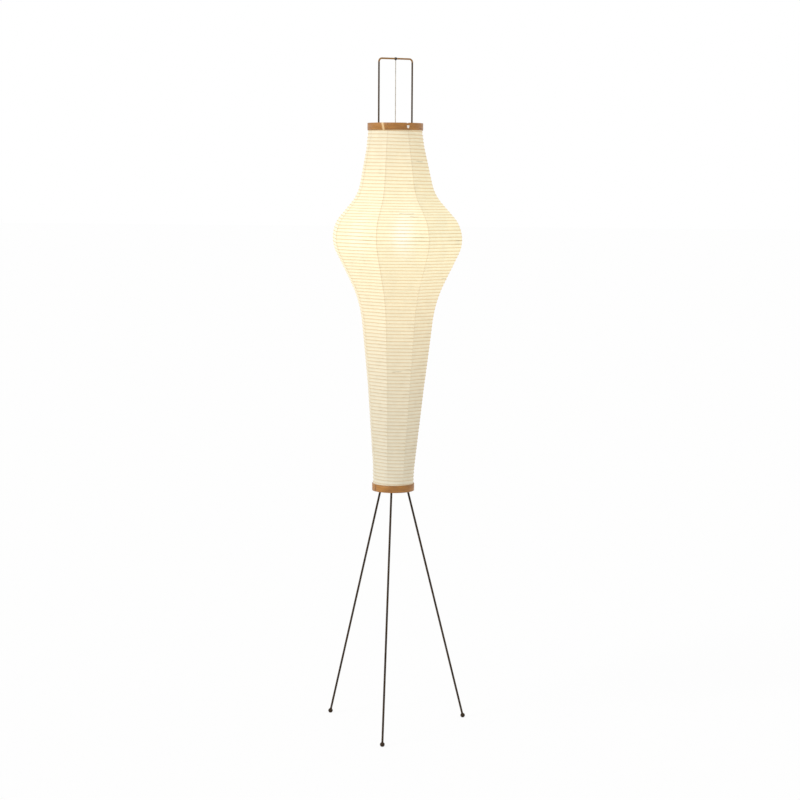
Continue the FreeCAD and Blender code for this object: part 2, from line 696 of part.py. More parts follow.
def make_brackets():
    """Three bent strips, one on each leg, whose lips bear on the bottom ring's inside."""
    low = size("bracket_z")
    leg_r = size("foot_circle_r") - (low - size("ball_z")) * math.tan(math.radians(leg_lean()))
    start = leg_r + size("leg_d") / 2
    reach = size("bottom_ring_r") - size("ring_wall")
    thick = size("bracket_thick")
    lips = []
    for label, angle in LEGS.items():
        arm = primitive("Box", label + "_bracket_arm", Height="Sizes.bracket_thick", Width="Sizes.bracket_w")
        arm.Length = reach - start - thick
        arm.Placement = Placement(Vector(start, -size("bracket_w") / 2, low), Rotation())
        lip = primitive("Box", label + "_bracket_lip", Length="Sizes.bracket_thick", Width="Sizes.bracket_w",
                        Height="Sizes.bracket_lip")
        lip.Placement = Placement(Vector(reach - thick, -size("bracket_w") / 2, low), Rotation())
        whole = doc.addObject("Part::Fuse", label + "_bracket")
        whole.Base = arm
        whole.Tool = lip
        bore = primitive("Cylinder", label + "_bracket_bore", Radius="Sizes.bottom_ring_r - Sizes.ring_wall",
                         Height="Sizes.bracket_lip * 3")
        bore.Placement = Placement(Vector(0, 0, low - size("bracket_lip")), Rotation())
        fitted = doc.addObject("Part::Common", label + "_bracket_fitted")
        fitted.Base = whole
        fitted.Tool = bore
        rod = primitive("Cylinder", label + "_bracket_rod", Radius="Sizes.leg_d / 2",
                        Height="Sizes.bottom_ring_r * 4")
        up = (low - size("ball_z")) / math.cos(math.radians(leg_lean()))
        rod.Placement = along_leg(0, up - size("bottom_ring_r") * 2)
        shaped = cut(label + "_bracket_shaped", fitted, rod)
        shaped.Placement = turned(angle)
        lips.append(shaped)
    name_node(group("bracket_group", lips), "ring_brackets")


# ---------------------------------------------------------------------------------------------
# Paper and spiral rib
# ---------------------------------------------------------------------------------------------

def inner_corner(spot):
    """Radius of the paper's inner face at a gore's corner, at one of the profile's stations."""
    return spot.x - size("paper_thick") / slope_cosine(profile, spot.y)


def inner_on(height, on_corner):
    """Radius clear of the paper's inner face at any height, at a gore's corner or in its middle.

    Where a leaf goes over from flat to round its facets fold along a diagonal, so a quarter of the
    change in its bulge is kept clear."""
    for upper, lower in zip(profile, profile[1:]):
        if upper.y >= height >= lower.y:
            break
    share = min(max((upper.y - height) / (upper.y - lower.y), 0.0), 1.0)
    ends = [inner_corner(spot) * (1.0 if on_corner else flat_share(spot.y)) for spot in (upper, lower)]
    twist = abs(inner_corner(upper) * flat_share(upper.y) - inner_corner(lower) * flat_share(lower.y)
                - (inner_corner(upper) - inner_corner(lower)) * math.cos(math.radians(180 / size("gore_total"))))
    return ends[0] + share * (ends[1] - ends[0]) - twist / 4


def gore_section(spot):
    """Corners of one gore's section at one height: a flat chord that rounds off towards the rings."""
    half = 180 / size("gore_total")
    flat = flat_share(spot.y)
    outer, inner = spot.x, inner_corner(spot)
    return [at_angle(outer, -half, spot.y), at_angle(outer * flat, 0, spot.y), at_angle(outer, half, spot.y),
            at_angle(inner, half, spot.y), at_angle(inner * flat, 0, spot.y), at_angle(inner, -half, spot.y)]


def make_gores():
    """The paper, pasted gore by gore: each is one long leaf with straight facets between heights."""
    leaf = skin([gore_section(spot) for spot in profile])
    step = 360 / size("gore_total")
    for k in range(int(size("gore_total"))):
        gore = doc.addObject("Part::Feature", "gore_%d" % (k + 1))
        gore.Shape = leaf
        name_node(gore, "paper_gore_%d" % (k + 1), turned(size("seam_turn") + (k + 0.5) * step))


def rib_path():
    """Points of the spiral as (angle, height), evenly spaced along the profile, falling as it turns."""
    low = size("bottom_ring_z") + size("bottom_ring_h")
    inside = [spot for spot in profile if low <= spot.y <= size("top_ring_z")]
    top = inside[0].y - size("rib_end")
    bottom = inside[-1].y + size("rib_end")
    heights = [top] + [s.y for s in inside if bottom < s.y < top] + [bottom]
    lengths = [0.0]
    for a, b in zip(heights, heights[1:]):
        lengths.append(lengths[-1] + math.hypot(radius_on(profile, a) - radius_on(profile, b), a - b))
    halves = int(size("gore_total") * size("rib_turns")) * 2
    path = []
    for i in range(halves + 1):
        along = lengths[-1] * i / halves
        j = max(k for k in range(len(lengths) - 1) if lengths[k] <= along + 1e-9)
        share = (along - lengths[j]) / (lengths[j + 1] - lengths[j])
        height = heights[j] + share * (heights[j + 1] - heights[j])
        on_corner = i % 2 == 0
        if on_corner or roundness(height) > 0.3:
            path.append((size("seam_turn") + i * 180 / size("gore_total"), height, on_corner))
    return path, lengths[-1] / size("rib_turns")


def rib_section(angle, height, on_corner):
    """Four-sided section of the bamboo at one point of the spiral, its outer side against the paper."""
    share = 1.0 if on_corner else flat_share(height)
    lean = slope_cosine(profile, height)
    rise = size("rib_width") / 2 * lean
    depth = size("rib_depth")
    tilt = math.sqrt(max(0.0, 1 - lean * lean))
    if radius_on(profile, height + 1) > radius_on(profile, height - 1):
        tilt = -tilt
    corners = []
    for end in (1, -1):
        z = height + end * rise
        outer = inner_on(z, on_corner) - size("rib_gap") / lean
        pair = [at_angle(outer, angle, z), at_angle(outer - depth * lean * share, angle, z - depth * tilt)]
        corners += pair if end > 0 else pair[::-1]
    return corners


def least_gap(path, sections):
    """Smallest distance between one turn of the rib and the next below it, over all their corner points."""
    at = {round(step[0] * 2): corners for step, corners in zip(path, sections)}
    gaps = []
    for key, corners in at.items():
        below = at.get(key + 720, [])
        gaps += [a.distanceToPoint(b) for a in corners for b in below]
    return min(gaps)


def make_rib():
    """One unbroken bamboo spiral that holds the paper out, straight from seam to seam."""
    path, pitch = rib_path()
    sections = [rib_section(*step) for step in path]
    rib = doc.addObject("Part::Feature", "spiral_rib")
    rib.Shape = skin(sections)
    print("rib pitch along the slope %.2f mm, least gap to itself, measured on its points, %.2f mm" % (
        pitch, least_gap(path, sections)))
    name_node(rib, "bamboo_rib")


# ---------------------------------------------------------------------------------------------
# Lamp holder and bulb
# ---------------------------------------------------------------------------------------------

def make_nipple():
    """Threaded tube through the bridge, with a lock nut above and below."""
    low = size("bridge_z") - 2 * size("nut_h")
    length = "Sizes.holder_z - Sizes.bridge_z + 3 * Sizes.nut_h"
    tube = prism("nipple_wall", 16, "Sizes.nipple_r", low, length)
    bore = prism("nipple_bore_form", 16, "Sizes.nipple_bore", low, length)
    name_node(cut("nipple", tube, bore), "holder_nipple")
    nuts = []
    for i, low in enumerate((size("bridge_z") - size("nut_h"), size("bridge_z") + size("bridge_thick"))):
        block = prism("nut_%d" % i, 6, "Sizes.nut_flats / 2", low, "Sizes.nut_h")
        hole = prism("nut_hole_%d" % i, 16, "Sizes.nipple_r + Sizes.fit_gap", low, "Sizes.nut_h")
        nuts.append(cut("nut_cut_%d" % i, block, hole))
    name_node(group("nut_group", nuts), "lock_nuts")


def make_holder():
    """Lamp holder: its domed cap, its grip with flats, the shade ring, the screw shell and the contact."""
    z0, r, wall = size("holder_z"), size("holder_r"), size("holder_wall")
    cap_h, high = size("holder_cap_h"), size("holder_h")
    rim = z0 + cap_h
    dome = barrel("cap_dome", 24, [(0.55 * r, z0), (0.88 * r, z0 + 0.3 * cap_h), (r, rim)])
    under = [(0.5 * r - wall, z0 + 0.15 * cap_h), (0.86 * r - wall, z0 + 0.4 * cap_h), (r - wall, rim)]
    hollow = barrel("cap_hollow", 24, under)
    shell = cut("cap_shell", dome, hollow)
    entry = prism("cap_entry", 16, "Sizes.nipple_r + Sizes.fit_gap", z0 - 1, "Sizes.holder_cap_h")
    name_node(cut("cap", shell, entry), "holder_cap")
    grip_top = rim + 0.25 * high
    grip = prism("grip", 24, "Sizes.holder_r", rim, "Sizes.holder_h * 0.25")
    collar = prism("collar", 24, "Sizes.holder_r - 0.4 * Sizes.holder_wall", grip_top,
                   "Sizes.holder_h * 0.75 - Sizes.holder_cap_h")
    sleeve = doc.addObject("Part::Fuse", "sleeve")
    sleeve.Base = grip
    sleeve.Tool = collar
    inside = prism("sleeve_inside", 24, "Sizes.holder_r - Sizes.holder_wall", rim,
                   "Sizes.holder_h - Sizes.holder_cap_h")
    name_node(cut("sleeve_cut", sleeve, inside), "holder_body")
    flange = prism("ring_flange", 24, "Sizes.shade_ring_r", grip_top, "Sizes.shade_ring_h * 0.3")
    skirt = prism("ring_skirt", 24, "Sizes.holder_r + 1.5", grip_top, "Sizes.shade_ring_h")
    solid_ring = doc.addObject("Part::Fuse", "ring_solid")
    solid_ring.Base = flange
    solid_ring.Tool = skirt
    through = prism("ring_through", 24, "Sizes.holder_r - 0.4 * Sizes.holder_wall + Sizes.fit_gap", grip_top,
                    "Sizes.shade_ring_h")
    name_node(cut("shade_ring", solid_ring, through), "holder_ring")
    make_screw_shell()


def make_screw_shell():
    """Brass screw shell on its base disc, and the sprung tongue under the bulb's button."""
    low = size("bulb_seat_z") - 3
    disc = prism("shell_disc", 24, "(Sizes.holder_r - Sizes.holder_wall) * 0.985", low, "1.5")
    tube = prism("shell_tube", 24, "Sizes.shell_bore + 1", low, "Sizes.shell_h + 1.5")
    whole = doc.addObject("Part::Fuse", "shell_whole")
    whole.Base = disc
    whole.Tool = tube
    well = prism("shell_well", 24, "Sizes.shell_bore", low + 1.5, "Sizes.shell_h")
    entry = prism("shell_entry", 16, "Sizes.nipple_r", low, "1.5")
    name_node(cut("shell", cut("shell_cup", whole, well), entry), "holder_shell")
    tongue = primitive("Box", "contact_tongue", Length="Sizes.nipple_r * 2.6", Width="Sizes.nipple_r",
                       Height="0.8")
    at = Placement(Vector(-size("nipple_r") * 1.3, -size("nipple_r") / 2, low + 1.5), Rotation())
    name_node(tongue, "centre_contact", turned(size("bail_turn")).multiply(at))


def make_bulb():
    """Bulb: a screw cap with its contact button, and an opal glass that is a ball on a tangent cone."""
    seat, r, neck = size("bulb_seat_z"), size("bulb_r"), size("bulb_neck_r")
    cap_r, cap_top = size("bulb_cap_r"), seat + size("bulb_cap_h")
    form = [(5, seat), (7, seat + 2.5), (cap_r, seat + 5), (cap_r, cap_top)]
    name_node(barrel("bulb_cap_form", 24, form), "bulb_cap")
    tangent = math.radians(size("bulb_tangent"))
    drop = (r * math.cos(tangent) - neck) / math.tan(tangent)
    levels = [(neck, cap_top), (neck, size("bulb_z") - r * math.sin(tangent) - drop)]
    for latitude in (-size("bulb_tangent"), -15, 0, 15, 30, 45, 60, 74):
        turn = math.radians(latitude)
        levels.append((r * math.cos(turn), size("bulb_z") + r * math.sin(turn)))
    levels.append((r * math.cos(math.radians(86)), size("bulb_z") + r))
    name_node(barrel("bulb_envelope", 32, levels), "bulb_glass")


make_legs()
make_feet()
make_hub()
make_leg_sockets()
make_upright_sockets()
make_grommet()
make_uprights()
make_bridge()
make_bail()
make_bar_knot()
make_hanging_cord()
make_hook()
make_bridle()
make_rings()
make_brackets()
make_gores()
make_rib()
make_nipple()
make_holder()
make_bulb()
doc.recompute()

for obj in doc.Objects:
    if "Invalid" in obj.State or "Error" in obj.State:
        raise RuntimeError("%s (%s) failed: %s" % (obj.Name, obj.Label, obj.State))
os.makedirs("parts", exist_ok=True)
for obj in nodes:
    shape = obj.Shape
    if shape.isNull() or not shape.isValid() or not shape.Solids:
        raise RuntimeError("%s has no sound solid" % obj.Label)
for obj in nodes:
    obj.Shape.exportStep("parts/%s.step" % obj.Label)
    box = obj.Shape.BoundBox
    print("%-16s solids %d  z %.1f to %.1f  volume %.0f" % (
        obj.Label, len(obj.Shape.Solids), box.ZMin, box.ZMax, obj.Shape.Volume))
print("axis_y %.3f, widest corner %.2f, stations %d" % (axis_y, widest_corner(), len(profile)))
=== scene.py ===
"""Paper lantern floor lamp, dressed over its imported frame.

Metres, +Z up, the lamp standing on its three ball feet at z = 0. The lamp's upright axis stands a
little behind the origin. Sizes given in millimetres are turned to metres where a mesh is made.
"""

import logging
import math
import random
from bisect import bisect_right
from dataclasses import dataclass, field
from enum import Enum
from functools import partial
from typing import Any, Callable, Iterable, Sequence

import bmesh
import bpy
from mathutils import Matrix, Vector, noise

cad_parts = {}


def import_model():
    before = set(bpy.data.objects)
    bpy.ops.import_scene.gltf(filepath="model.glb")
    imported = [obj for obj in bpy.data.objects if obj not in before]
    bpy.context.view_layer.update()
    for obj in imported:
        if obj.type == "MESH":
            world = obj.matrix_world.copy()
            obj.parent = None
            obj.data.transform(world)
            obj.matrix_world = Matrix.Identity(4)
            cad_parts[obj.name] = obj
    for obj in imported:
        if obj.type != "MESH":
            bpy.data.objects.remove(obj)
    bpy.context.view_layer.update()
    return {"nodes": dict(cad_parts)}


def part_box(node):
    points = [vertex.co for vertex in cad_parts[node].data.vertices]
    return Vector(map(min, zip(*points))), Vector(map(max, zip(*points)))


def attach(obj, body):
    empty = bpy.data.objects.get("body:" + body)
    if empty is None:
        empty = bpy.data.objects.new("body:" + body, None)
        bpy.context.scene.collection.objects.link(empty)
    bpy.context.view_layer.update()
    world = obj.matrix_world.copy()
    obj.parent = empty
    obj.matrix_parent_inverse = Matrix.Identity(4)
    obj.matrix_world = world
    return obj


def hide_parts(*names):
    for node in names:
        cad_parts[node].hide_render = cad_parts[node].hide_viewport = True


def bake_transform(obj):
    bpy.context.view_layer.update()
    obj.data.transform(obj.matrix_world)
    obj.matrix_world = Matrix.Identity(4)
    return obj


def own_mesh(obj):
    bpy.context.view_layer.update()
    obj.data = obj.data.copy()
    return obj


MM = 0.001
AXIS_Y = 22.301 * MM
UP = Vector((0, 0, 1))

log = logging.getLogger("lantern")

Pair = tuple[float, float]
Point = tuple[float, float, float]
Form = tuple[list[Vector], list[tuple[int, ...]]]
Socket = bpy.types.NodeSocket
Material = bpy.types.Material
Put = Callable[..., Socket]


class Body(Enum):
    """The frame's rigid bodies."""

    STAND = "stand"
    SHADE_TOP = "shade_top"
    BULB = "bulb"


class Tone(Enum):
    """How dark the bronzed steel of each part is drawn."""

    LEG = "#2E2317"
    UPRIGHT = "#382C1D"
    BAIL = "#44331B"
    BALL = "#271C12"
    PLATE = "#4E4132"


# Colour, nodes and meshes

def linear(code: str) -> tuple[float, float, float, float]:
    """Turns an sRGB hex colour to linear light.

    Args:
        code: Colour as "#RRGGBB".

    Returns:
        Red, green, blue and a full alpha.
    """
    parts = [int(code[i:i + 2], 16) / 255 for i in (1, 3, 5)]
    light = [p / 12.92 if p <= 0.04045 else ((p + 0.055) / 1.055) ** 2.4 for p in parts]
    return light[0], light[1], light[2], 1.0


def add_node(tree: bpy.types.NodeTree, kind: str, inputs: Any = (), out: Any = 0, **settings: Any) -> Any:
    """Adds a node with its settings, and its inputs as values or links.

    Args:
        tree: Node tree that gets the node.
        kind: The node's type name, which a shader node gives without the word ShaderNode.
        inputs: Values or other nodes' outputs, in order or by socket.
        out: The output to return.
        **settings: The node's own properties.

    Returns:
        That output, or None where the node has none.
    """
    node = tree.nodes.new(kind if "Node" in kind else "ShaderNode" + kind)
    for name, value in settings.items():
        setattr(node, name, value)
    for key, value in inputs.items() if isinstance(inputs, dict) else enumerate(inputs):
        if isinstance(value, Socket):
            tree.links.new(value, node.inputs[key])
        else:
            node.inputs[key].default_value = value
    return node.outputs[out] if node.outputs else None


def placed(name: str, data: Any) -> bpy.types.Object:
    """Adds an object to the scene.

    Args:
        name: Object name.
        data: Its mesh, curve, light or camera.

    Returns:
        The object, at the origin.
    """
    thing = bpy.data.objects.new(name, data)
    bpy.context.scene.collection.objects.link(thing)
    return thing


def new_piece(name: str, form: Form, finish: Material, sharp: float = 40.0,
              face_outwards: bool = True) -> bpy.types.Object:
    """Makes a mesh object at the origin from points and faces.

    Args:
        name: Object name.
        form: Points in metres, and faces.
        finish: Material.
        sharp: Edges that turn more than this many degrees stay crisp.
        face_outwards: Whether the faces are turned to point outwards.

    Returns:
        The object.
    """
    mesh = bpy.data.meshes.new(name)
    mesh.from_pydata([tuple(p) for p in form[0]], [], form[1])
    if face_outwards:
        shell = bmesh.new()
        shell.from_mesh(mesh)
        bmesh.ops.recalc_face_normals(shell, faces=shell.faces)
        shell.to_mesh(mesh)
        shell.free()
    mesh.shade_smooth()
    mesh.set_sharp_from_angle(angle=math.radians(sharp))
    mesh.materials.append(finish)
    return placed(name, mesh)


def set_maps(mesh: bpy.types.Mesh, **maps: Sequence[Pair]) -> None:
    """Gives a mesh its UV maps.

    Args:
        mesh: The mesh.
        **maps: For each map, two numbers for each vertex.
    """
    corner = [0] * len(mesh.loops)
    mesh.loops.foreach_get("vertex_index", corner)
    for name, values in maps.items():
        mesh.uv_layers.new(name=name).data.foreach_set("uv", [c for v in corner for c in values[v]])


def joined(forms: Iterable[Form]) -> Form:
    """Puts several forms into one.

    Args:
        forms: Forms of points and faces.

    Returns:
        One form that holds them all.
    """
    points: list[Vector] = []
    faces: list[tuple[int, ...]] = []
    for more, around in forms:
        faces += [tuple(i + len(points) for i in face) for face in around]
        points += more
    return points, faces


def skinned(points: list[Vector], sides: int, closed: bool = False) -> Form:
    """Stretches a skin over rings of points.

    Args:
        points: The rings' points, one ring after the other.
        sides: Points in a ring.
        closed: Whether the last ring runs on into the first; if not, both ends are capped.

    Returns:
        The closed form.
    """
    count = len(points) // sides
    faces: list[tuple[int, ...]] = []
    for i in range(count if closed else count - 1):
        a, b = i * sides, (i + 1) % count * sides
        faces += [(a + k, a + (k + 1) % sides, b + (k + 1) % sides, b + k) for k in range(sides)]
    if not closed:
        faces += [tuple(range(sides))[::-1], tuple(range((count - 1) * sides, count * sides))]
    return points, faces


def tube(path: Sequence[Vector], radius: float, sides: int = 20, closed: bool = False,
         rounding: float = 0.0) -> Form:
    """Sweeps a circle along a path.

    Args:
        path: Points of the path in metres.
        radius: Radius of the tube in metres.
        sides: Sides of the section.
        closed: Whether the path runs back into its start.
        rounding: How much slimmer the first and the last ring are, in metres.

    Returns:
        The tube's form, closed at its ends.
    """
    last = len(path) - 1
    points: list[Vector] = []
    across = Vector()
    for i, spot in enumerate(path):
        before = path[i - 1] if closed or i else spot
        after = path[(i + 1) % len(path)] if closed or i < last else spot
        ahead = (after - before).normalized()
        if not i:
            across = ahead.cross(UP if abs(ahead.z) < 0.9 else Vector((1, 0, 0))).normalized()
        across = (across - ahead * across.dot(ahead)).normalized()
        up = ahead.cross(across)
        r = radius if closed or 0 < i < last else radius - rounding
        for k in range(sides):
            turn = 2 * math.pi * k / sides
            points.append(spot + across * (r * math.cos(turn)) + up * (r * math.sin(turn)))
    return skinned(points, sides, closed)


def lathe(levels: Sequence[Pair], segments: int = 48, centre: Point = (0, AXIS_Y, 0)) -> Form:
    """Turns an outline about an upright axis.

    Args:
        levels: (radius, height) in metres, from one end to the other.
        segments: Steps round the axis.
        centre: A point on the axis.

    Returns:
        The turned form, closed at both ends.
    """
    turns = [2 * math.pi * k / segments for k in range(segments)]
    points = [Vector((centre[0] + r * math.cos(t), centre[1] + r * math.sin(t), centre[2] + z))
              for r, z in levels for t in turns]
    return skinned(points, segments)


def on_axis(radius: float, turn: float, height: float) -> Vector:
    """A point round the lamp's axis.

    Args:
        radius: Distance from the axis in millimetres.
        turn: Angle in degrees.
        height: Height in millimetres.

    Returns:
        The point in metres.
    """
    a = math.radians(turn)
    return Vector((radius * MM * math.cos(a), AXIS_Y + radius * MM * math.sin(a), height * MM))


def settle(piece: bpy.types.Object, body: Body | None, slot: str, *nodes: str) -> bpy.types.Object:
    """Lets a piece ride on a body and stand for its nodes.

    Args:
        piece: The piece.
        body: Body it rides on, or None where it bends between two.
        slot: Not used.
        *nodes: Nodes that it replaces.

    Returns:
        The same piece.
    """
    if body is not None:
        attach(piece, body.value)
    if nodes:
        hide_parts(*nodes)
    log.info("%s: %d faces", piece.name, len(piece.data.polygons))
    return piece


def guide_line(points: Sequence[Vector], smooth: bool = False) -> bpy.types.Object:
    """A curve that a rule follows, or that a cord's line is read off.

    Args:
        points: Its points in metres.
        smooth: Whether they only steer a smooth spline.

    Returns:
        The curve object.
    """
    curve = bpy.data.curves.new("guide", "CURVE")
    curve.dimensions = "3D"
    spline = curve.splines.new("NURBS" if smooth else "POLY")
    spline.points.add(len(points) - 1)
    spline.points.foreach_set("co", [c for spot in points for c in (*spot, 1.0)])
    if smooth:
        spline.order_u = 3
        spline.use_endpoint_u = True
    return placed("guide", curve)


def guide_points(points: Sequence[Vector], ways: Sequence[Vector]) -> bpy.types.Object:
    """Loose points that a rule sets shapes on, each with the way its shape faces.

    Args:
        points: The points in metres.
        ways: One direction for each point.

    Returns:
        The mesh object.
    """
    mesh = bpy.data.meshes.new("guide")
    mesh.from_pydata([tuple(p) for p in points], [], [])
    facing = mesh.attributes.new("way", "FLOAT_VECTOR", "POINT")
    facing.data.foreach_set("vector", [c for way in ways for c in way])
    return placed("guide", mesh)


def settled_mesh(guide: bpy.types.Object) -> bpy.types.Mesh:
    """Reads off what a guide has become, and removes it.

    Args:
        guide: Curve or mesh object, with or without a rule.

    Returns:
        A plain mesh.
    """
    bpy.context.view_layer.update()
    mesh = bpy.data.meshes.new_from_object(guide.evaluated_get(bpy.context.evaluated_depsgraph_get()))
    guide.modifiers.clear()
    bpy.data.objects.remove(guide)
    return mesh


# Finishes

class Finish:
    """Common start and end of every finish."""

    def start(self, name: str) -> tuple[Material, Put]:
        """Makes an empty material.

        Args:
            name: Name of the material.

        Returns:
            The material, and a call that adds a node to it.
        """
        material = bpy.data.materials.new(name)
        material.use_nodes = True
        material.node_tree.nodes.clear()
        return material, partial(add_node, material.node_tree)

    def end(self, material: Material, colour: Socket, rise: Socket, depth: float, strength: float,
            **sockets: Any) -> Material:
        """Adds the relief and the shader.

        Args:
            material: The material.
            colour: Base colour.
            rise: Height of the relief.
            depth: Metres of relief.
            strength: How strongly it shows.
            **sockets: The shader's other inputs, underscores standing for spaces.

        Returns:
            The finished material.
        """
        put = partial(add_node, material.node_tree)
        bump = put("Bump", {"Height": rise, "Distance": depth, "Strength": strength})
        others = {key.replace("_", " "): value for key, value in sockets.items()}
        shader = put("BsdfPrincipled", {"Base Color": colour, "Normal": bump, **others})
        put("OutputMaterial", [shader])
        return material

    def place(self, put: Put, scale: Point = (1, 1, 1)) -> Socket:
        """Object coordinates, stretched.

        Args:
            put: Adds a node.
            scale: Stretch along each axis.

        Returns:
            The coordinates' socket.
        """
        return put("Mapping", {"Vector": put("TexCoord", out="Object"), "Scale": scale})

    def lay(self, put: Put, name: str) -> tuple[Socket, Socket, Socket]:
        """A piece's own UV map.

        Args:
            put: Adds a node.
            name: Name of the map.

        Returns:
            The vector, its first number and its second, as sockets.
        """
        read = put("UVMap", uv_map=name)
        split = put("SeparateXYZ", [read]).node.outputs
        return read, split[0], split[1]


@dataclass(frozen=True)
class Washi(Finish):
    """Handmade mulberry paper over a lit bulb: warm white, cloudy with fibres, its glow and rib shadows
    painted on.
    """

    paper: str = "#CBC7BA"
    # the paper's colour in the painted shadow of a rib
    paper_in_rib_shadow: str = "#C5BBA4"
    pitch: float = 9.70  # millimetres from rib to rib
    bulb_z: float = 1.365
    reach: float = 0.345  # metres over which the glow dies down
    belly_half: float = 70.0  # millimetres from a leaf's seam to its middle, at the bulb's height
    rib_dark: float = 0.7  # millimetres from a rib's middle to where its shadow begins to fade
    rib_clear: float = 1.7  # and to where it ends
    glow_low: float = 0.17
    glow_gain: float = 0.325
    near_z: float = 1.40  # height at which the glow is whitest
    near_reach: float = 0.17
    patch_z: float = 1.378  # middle of a leaf's brightest patch
    patch_reach: float = 0.05
    patch_half: float = 27.0  # millimetres from that middle to about a third of the brightness
    seam_z: float = 1.38  # height at which the pasted edges show most
    seam_reach: float = 0.34
    # linear light of the glow: far from the bulb, near it, and square to it
    far: tuple[float, ...] = (1, 0.79, 0.37, 1)
    near: tuple[float, ...] = (1, 0.885, 0.46, 1)
    square: tuple[float, ...] = (0.50, 0.50, 0.43, 1)
    # shares of that light that a rib and a pasted edge let through
    past_rib: tuple[float, ...] = (0.77, 0.51, 0.15, 1)
    past_seam: tuple[float, ...] = (0.70, 0.48, 0.10, 1)

    def build(self) -> Material:
        """Makes the paper. The glow is strongest near the bulb and yellower away from it.

        Returns:
            The material.
        """
        material, put = self.start("washi_paper")
        mix = partial(put, "Mix", out=2, data_type="RGBA")
        spot = self.place(put)
        height = put("SeparateXYZ", [spot], 2)
        _, across, phase = self.lay(put, "lay")
        rib = self.rib_shadow(put, spot, phase)
        glow = self.bell(put, height, self.bulb_z, self.reach)
        glow = put("Math", (glow, self.glow_gain, self.glow_low), operation="MULTIPLY_ADD")
        tint = mix({0: self.bell(put, height, self.near_z, self.near_reach), 6: self.far, 7: self.near})
        lit = put("VectorMath", {0: tint, "Scale": glow}, operation="SCALE")
        # painted pool of the bulb's light where a leaf stands square to the bulb, most of all on the front
        # leaf
        hot_spot = put("Attribute", out="Fac", attribute_name="hot_spot")
        patch = self.product(put, self.bell(put, across, self.belly_half, self.patch_half),
                             self.bell(put, height, self.patch_z, self.patch_reach), hot_spot)
        lit = mix({0: patch, 6: lit, 7: self.square})
        # clouds of pulp about 25 mm across and single fibres about 0.4 mm wide, drawn 1 mm so they show
        cloud = put("TexNoise", {"Vector": spot, "Scale": 40.0, "Detail": 5.0, "Roughness": 0.65})
        cloud = put("MapRange", (cloud, 0.3, 0.7, 0.955, 1.03))
        strand_at = self.place(put, (1.0, 1.0, 0.35))
        strand = put("TexNoise", {"Vector": strand_at, "Scale": 260.0, "Detail": 3.0, "Distortion": 1.6})
        fibre = put("MapRange", (strand, 0.62, 0.74, 1.0, 0.93))
        fleck = put("TexVoronoi", {"Vector": strand_at, "Scale": 46.0})
        fleck = put("MapRange", (fleck, 0.018, 0.05, 0.80, 1.0))
        # the leaves overlap by 6 mm, and their pasted edge shows as a line about 1.5 mm wide
        paste = put("MapRange", (across, 5.4, 6.4, 0.975, 1.0))
        edge = put("MapRange", (across, 1.4, 2.8, 1.0, 0.0))
        edge = self.product(put, edge, self.bell(put, height, self.seam_z, self.seam_reach))
        shade = self.product(put, cloud, fibre, fleck, paste)
        # over each rib the paper's own colour is darkened too: painted shadow of the rib
        base = mix({0: rib, 6: linear(self.paper), 7: linear(self.paper_in_rib_shadow)})
        base = put("VectorMath", {0: base, "Scale": shade}, operation="SCALE")
        for share, past in ((rib, self.past_rib), (edge, self.past_seam)):
            lit = put("VectorMath", (lit, mix({0: share, 6: (1, 1, 1, 1), 7: past})), operation="MULTIPLY")
        lit = put("VectorMath", {0: lit, "Scale": shade}, operation="SCALE")
        rise = put("Math", (strand, 0.35, rib), operation="MULTIPLY_ADD")
        return self.end(material, base, rise, 0.0004, 0.5, Emission_Color=lit, Emission_Strength=1.0,
                        Roughness=0.82, Sheen_Weight=0.12)

    def bell(self, put: Put, value: Socket, middle: float, reach: float) -> Socket:
        """A bell over a value: 1 at the middle, falling off on both sides.

        Args:
            put: Adds a node.
            value: The value.
            middle: Value at the top of the bell.
            reach: Distance to about a third of it.

        Returns:
            The bell's socket.
        """
        away = put("Math", (value, middle), operation="SUBTRACT")
        away = put("Math", (away, reach), operation="DIVIDE")
        down = self.product(put, away, away, -1.0)
        return put("Math", (math.e, down), operation="POWER")

    def product(self, put: Put, *parts: Any) -> Socket:
        """Several values multiplied.

        Args:
            put: Adds a node.
            *parts: The values.

        Returns:
            The product's socket.
        """
        total = parts[0]
        for part in parts[1:]:
            total = put("Math", (total, part), operation="MULTIPLY")
        return total

    def rib_shadow(self, put: Put, spot: Socket, phase: Socket) -> Socket:
        """Where a rib lies behind the paper: about 2 mm wide and a little wavy.

        Args:
            put: Adds a node.
            spot: Object coordinates.
            phase: Turns of the rib, counted down the paper.

        Returns:
            1 over a rib and 0 between ribs.
        """
        wave = put("TexNoise", {"Vector": spot, "Scale": 26.0, "Detail": 2.0})
        # the wave shifts a rib by 0.08 turns on the average, and 0.42 more brings it to the middle of a turn
        moved = put("Math", (wave, 0.16, phase), operation="MULTIPLY_ADD")
        moved = put("Math", (moved, 0.42), operation="ADD")
        turn = put("Math", [moved], operation="FRACT")
        away = put("Math", (turn, 0.5), operation="SUBTRACT")
        away = put("Math", [away], operation="ABSOLUTE")
        return put("MapRange", (away, self.rib_dark / self.pitch, self.rib_clear / self.pitch, 1.0, 0.0),
                   interpolation_type="SMOOTHSTEP")


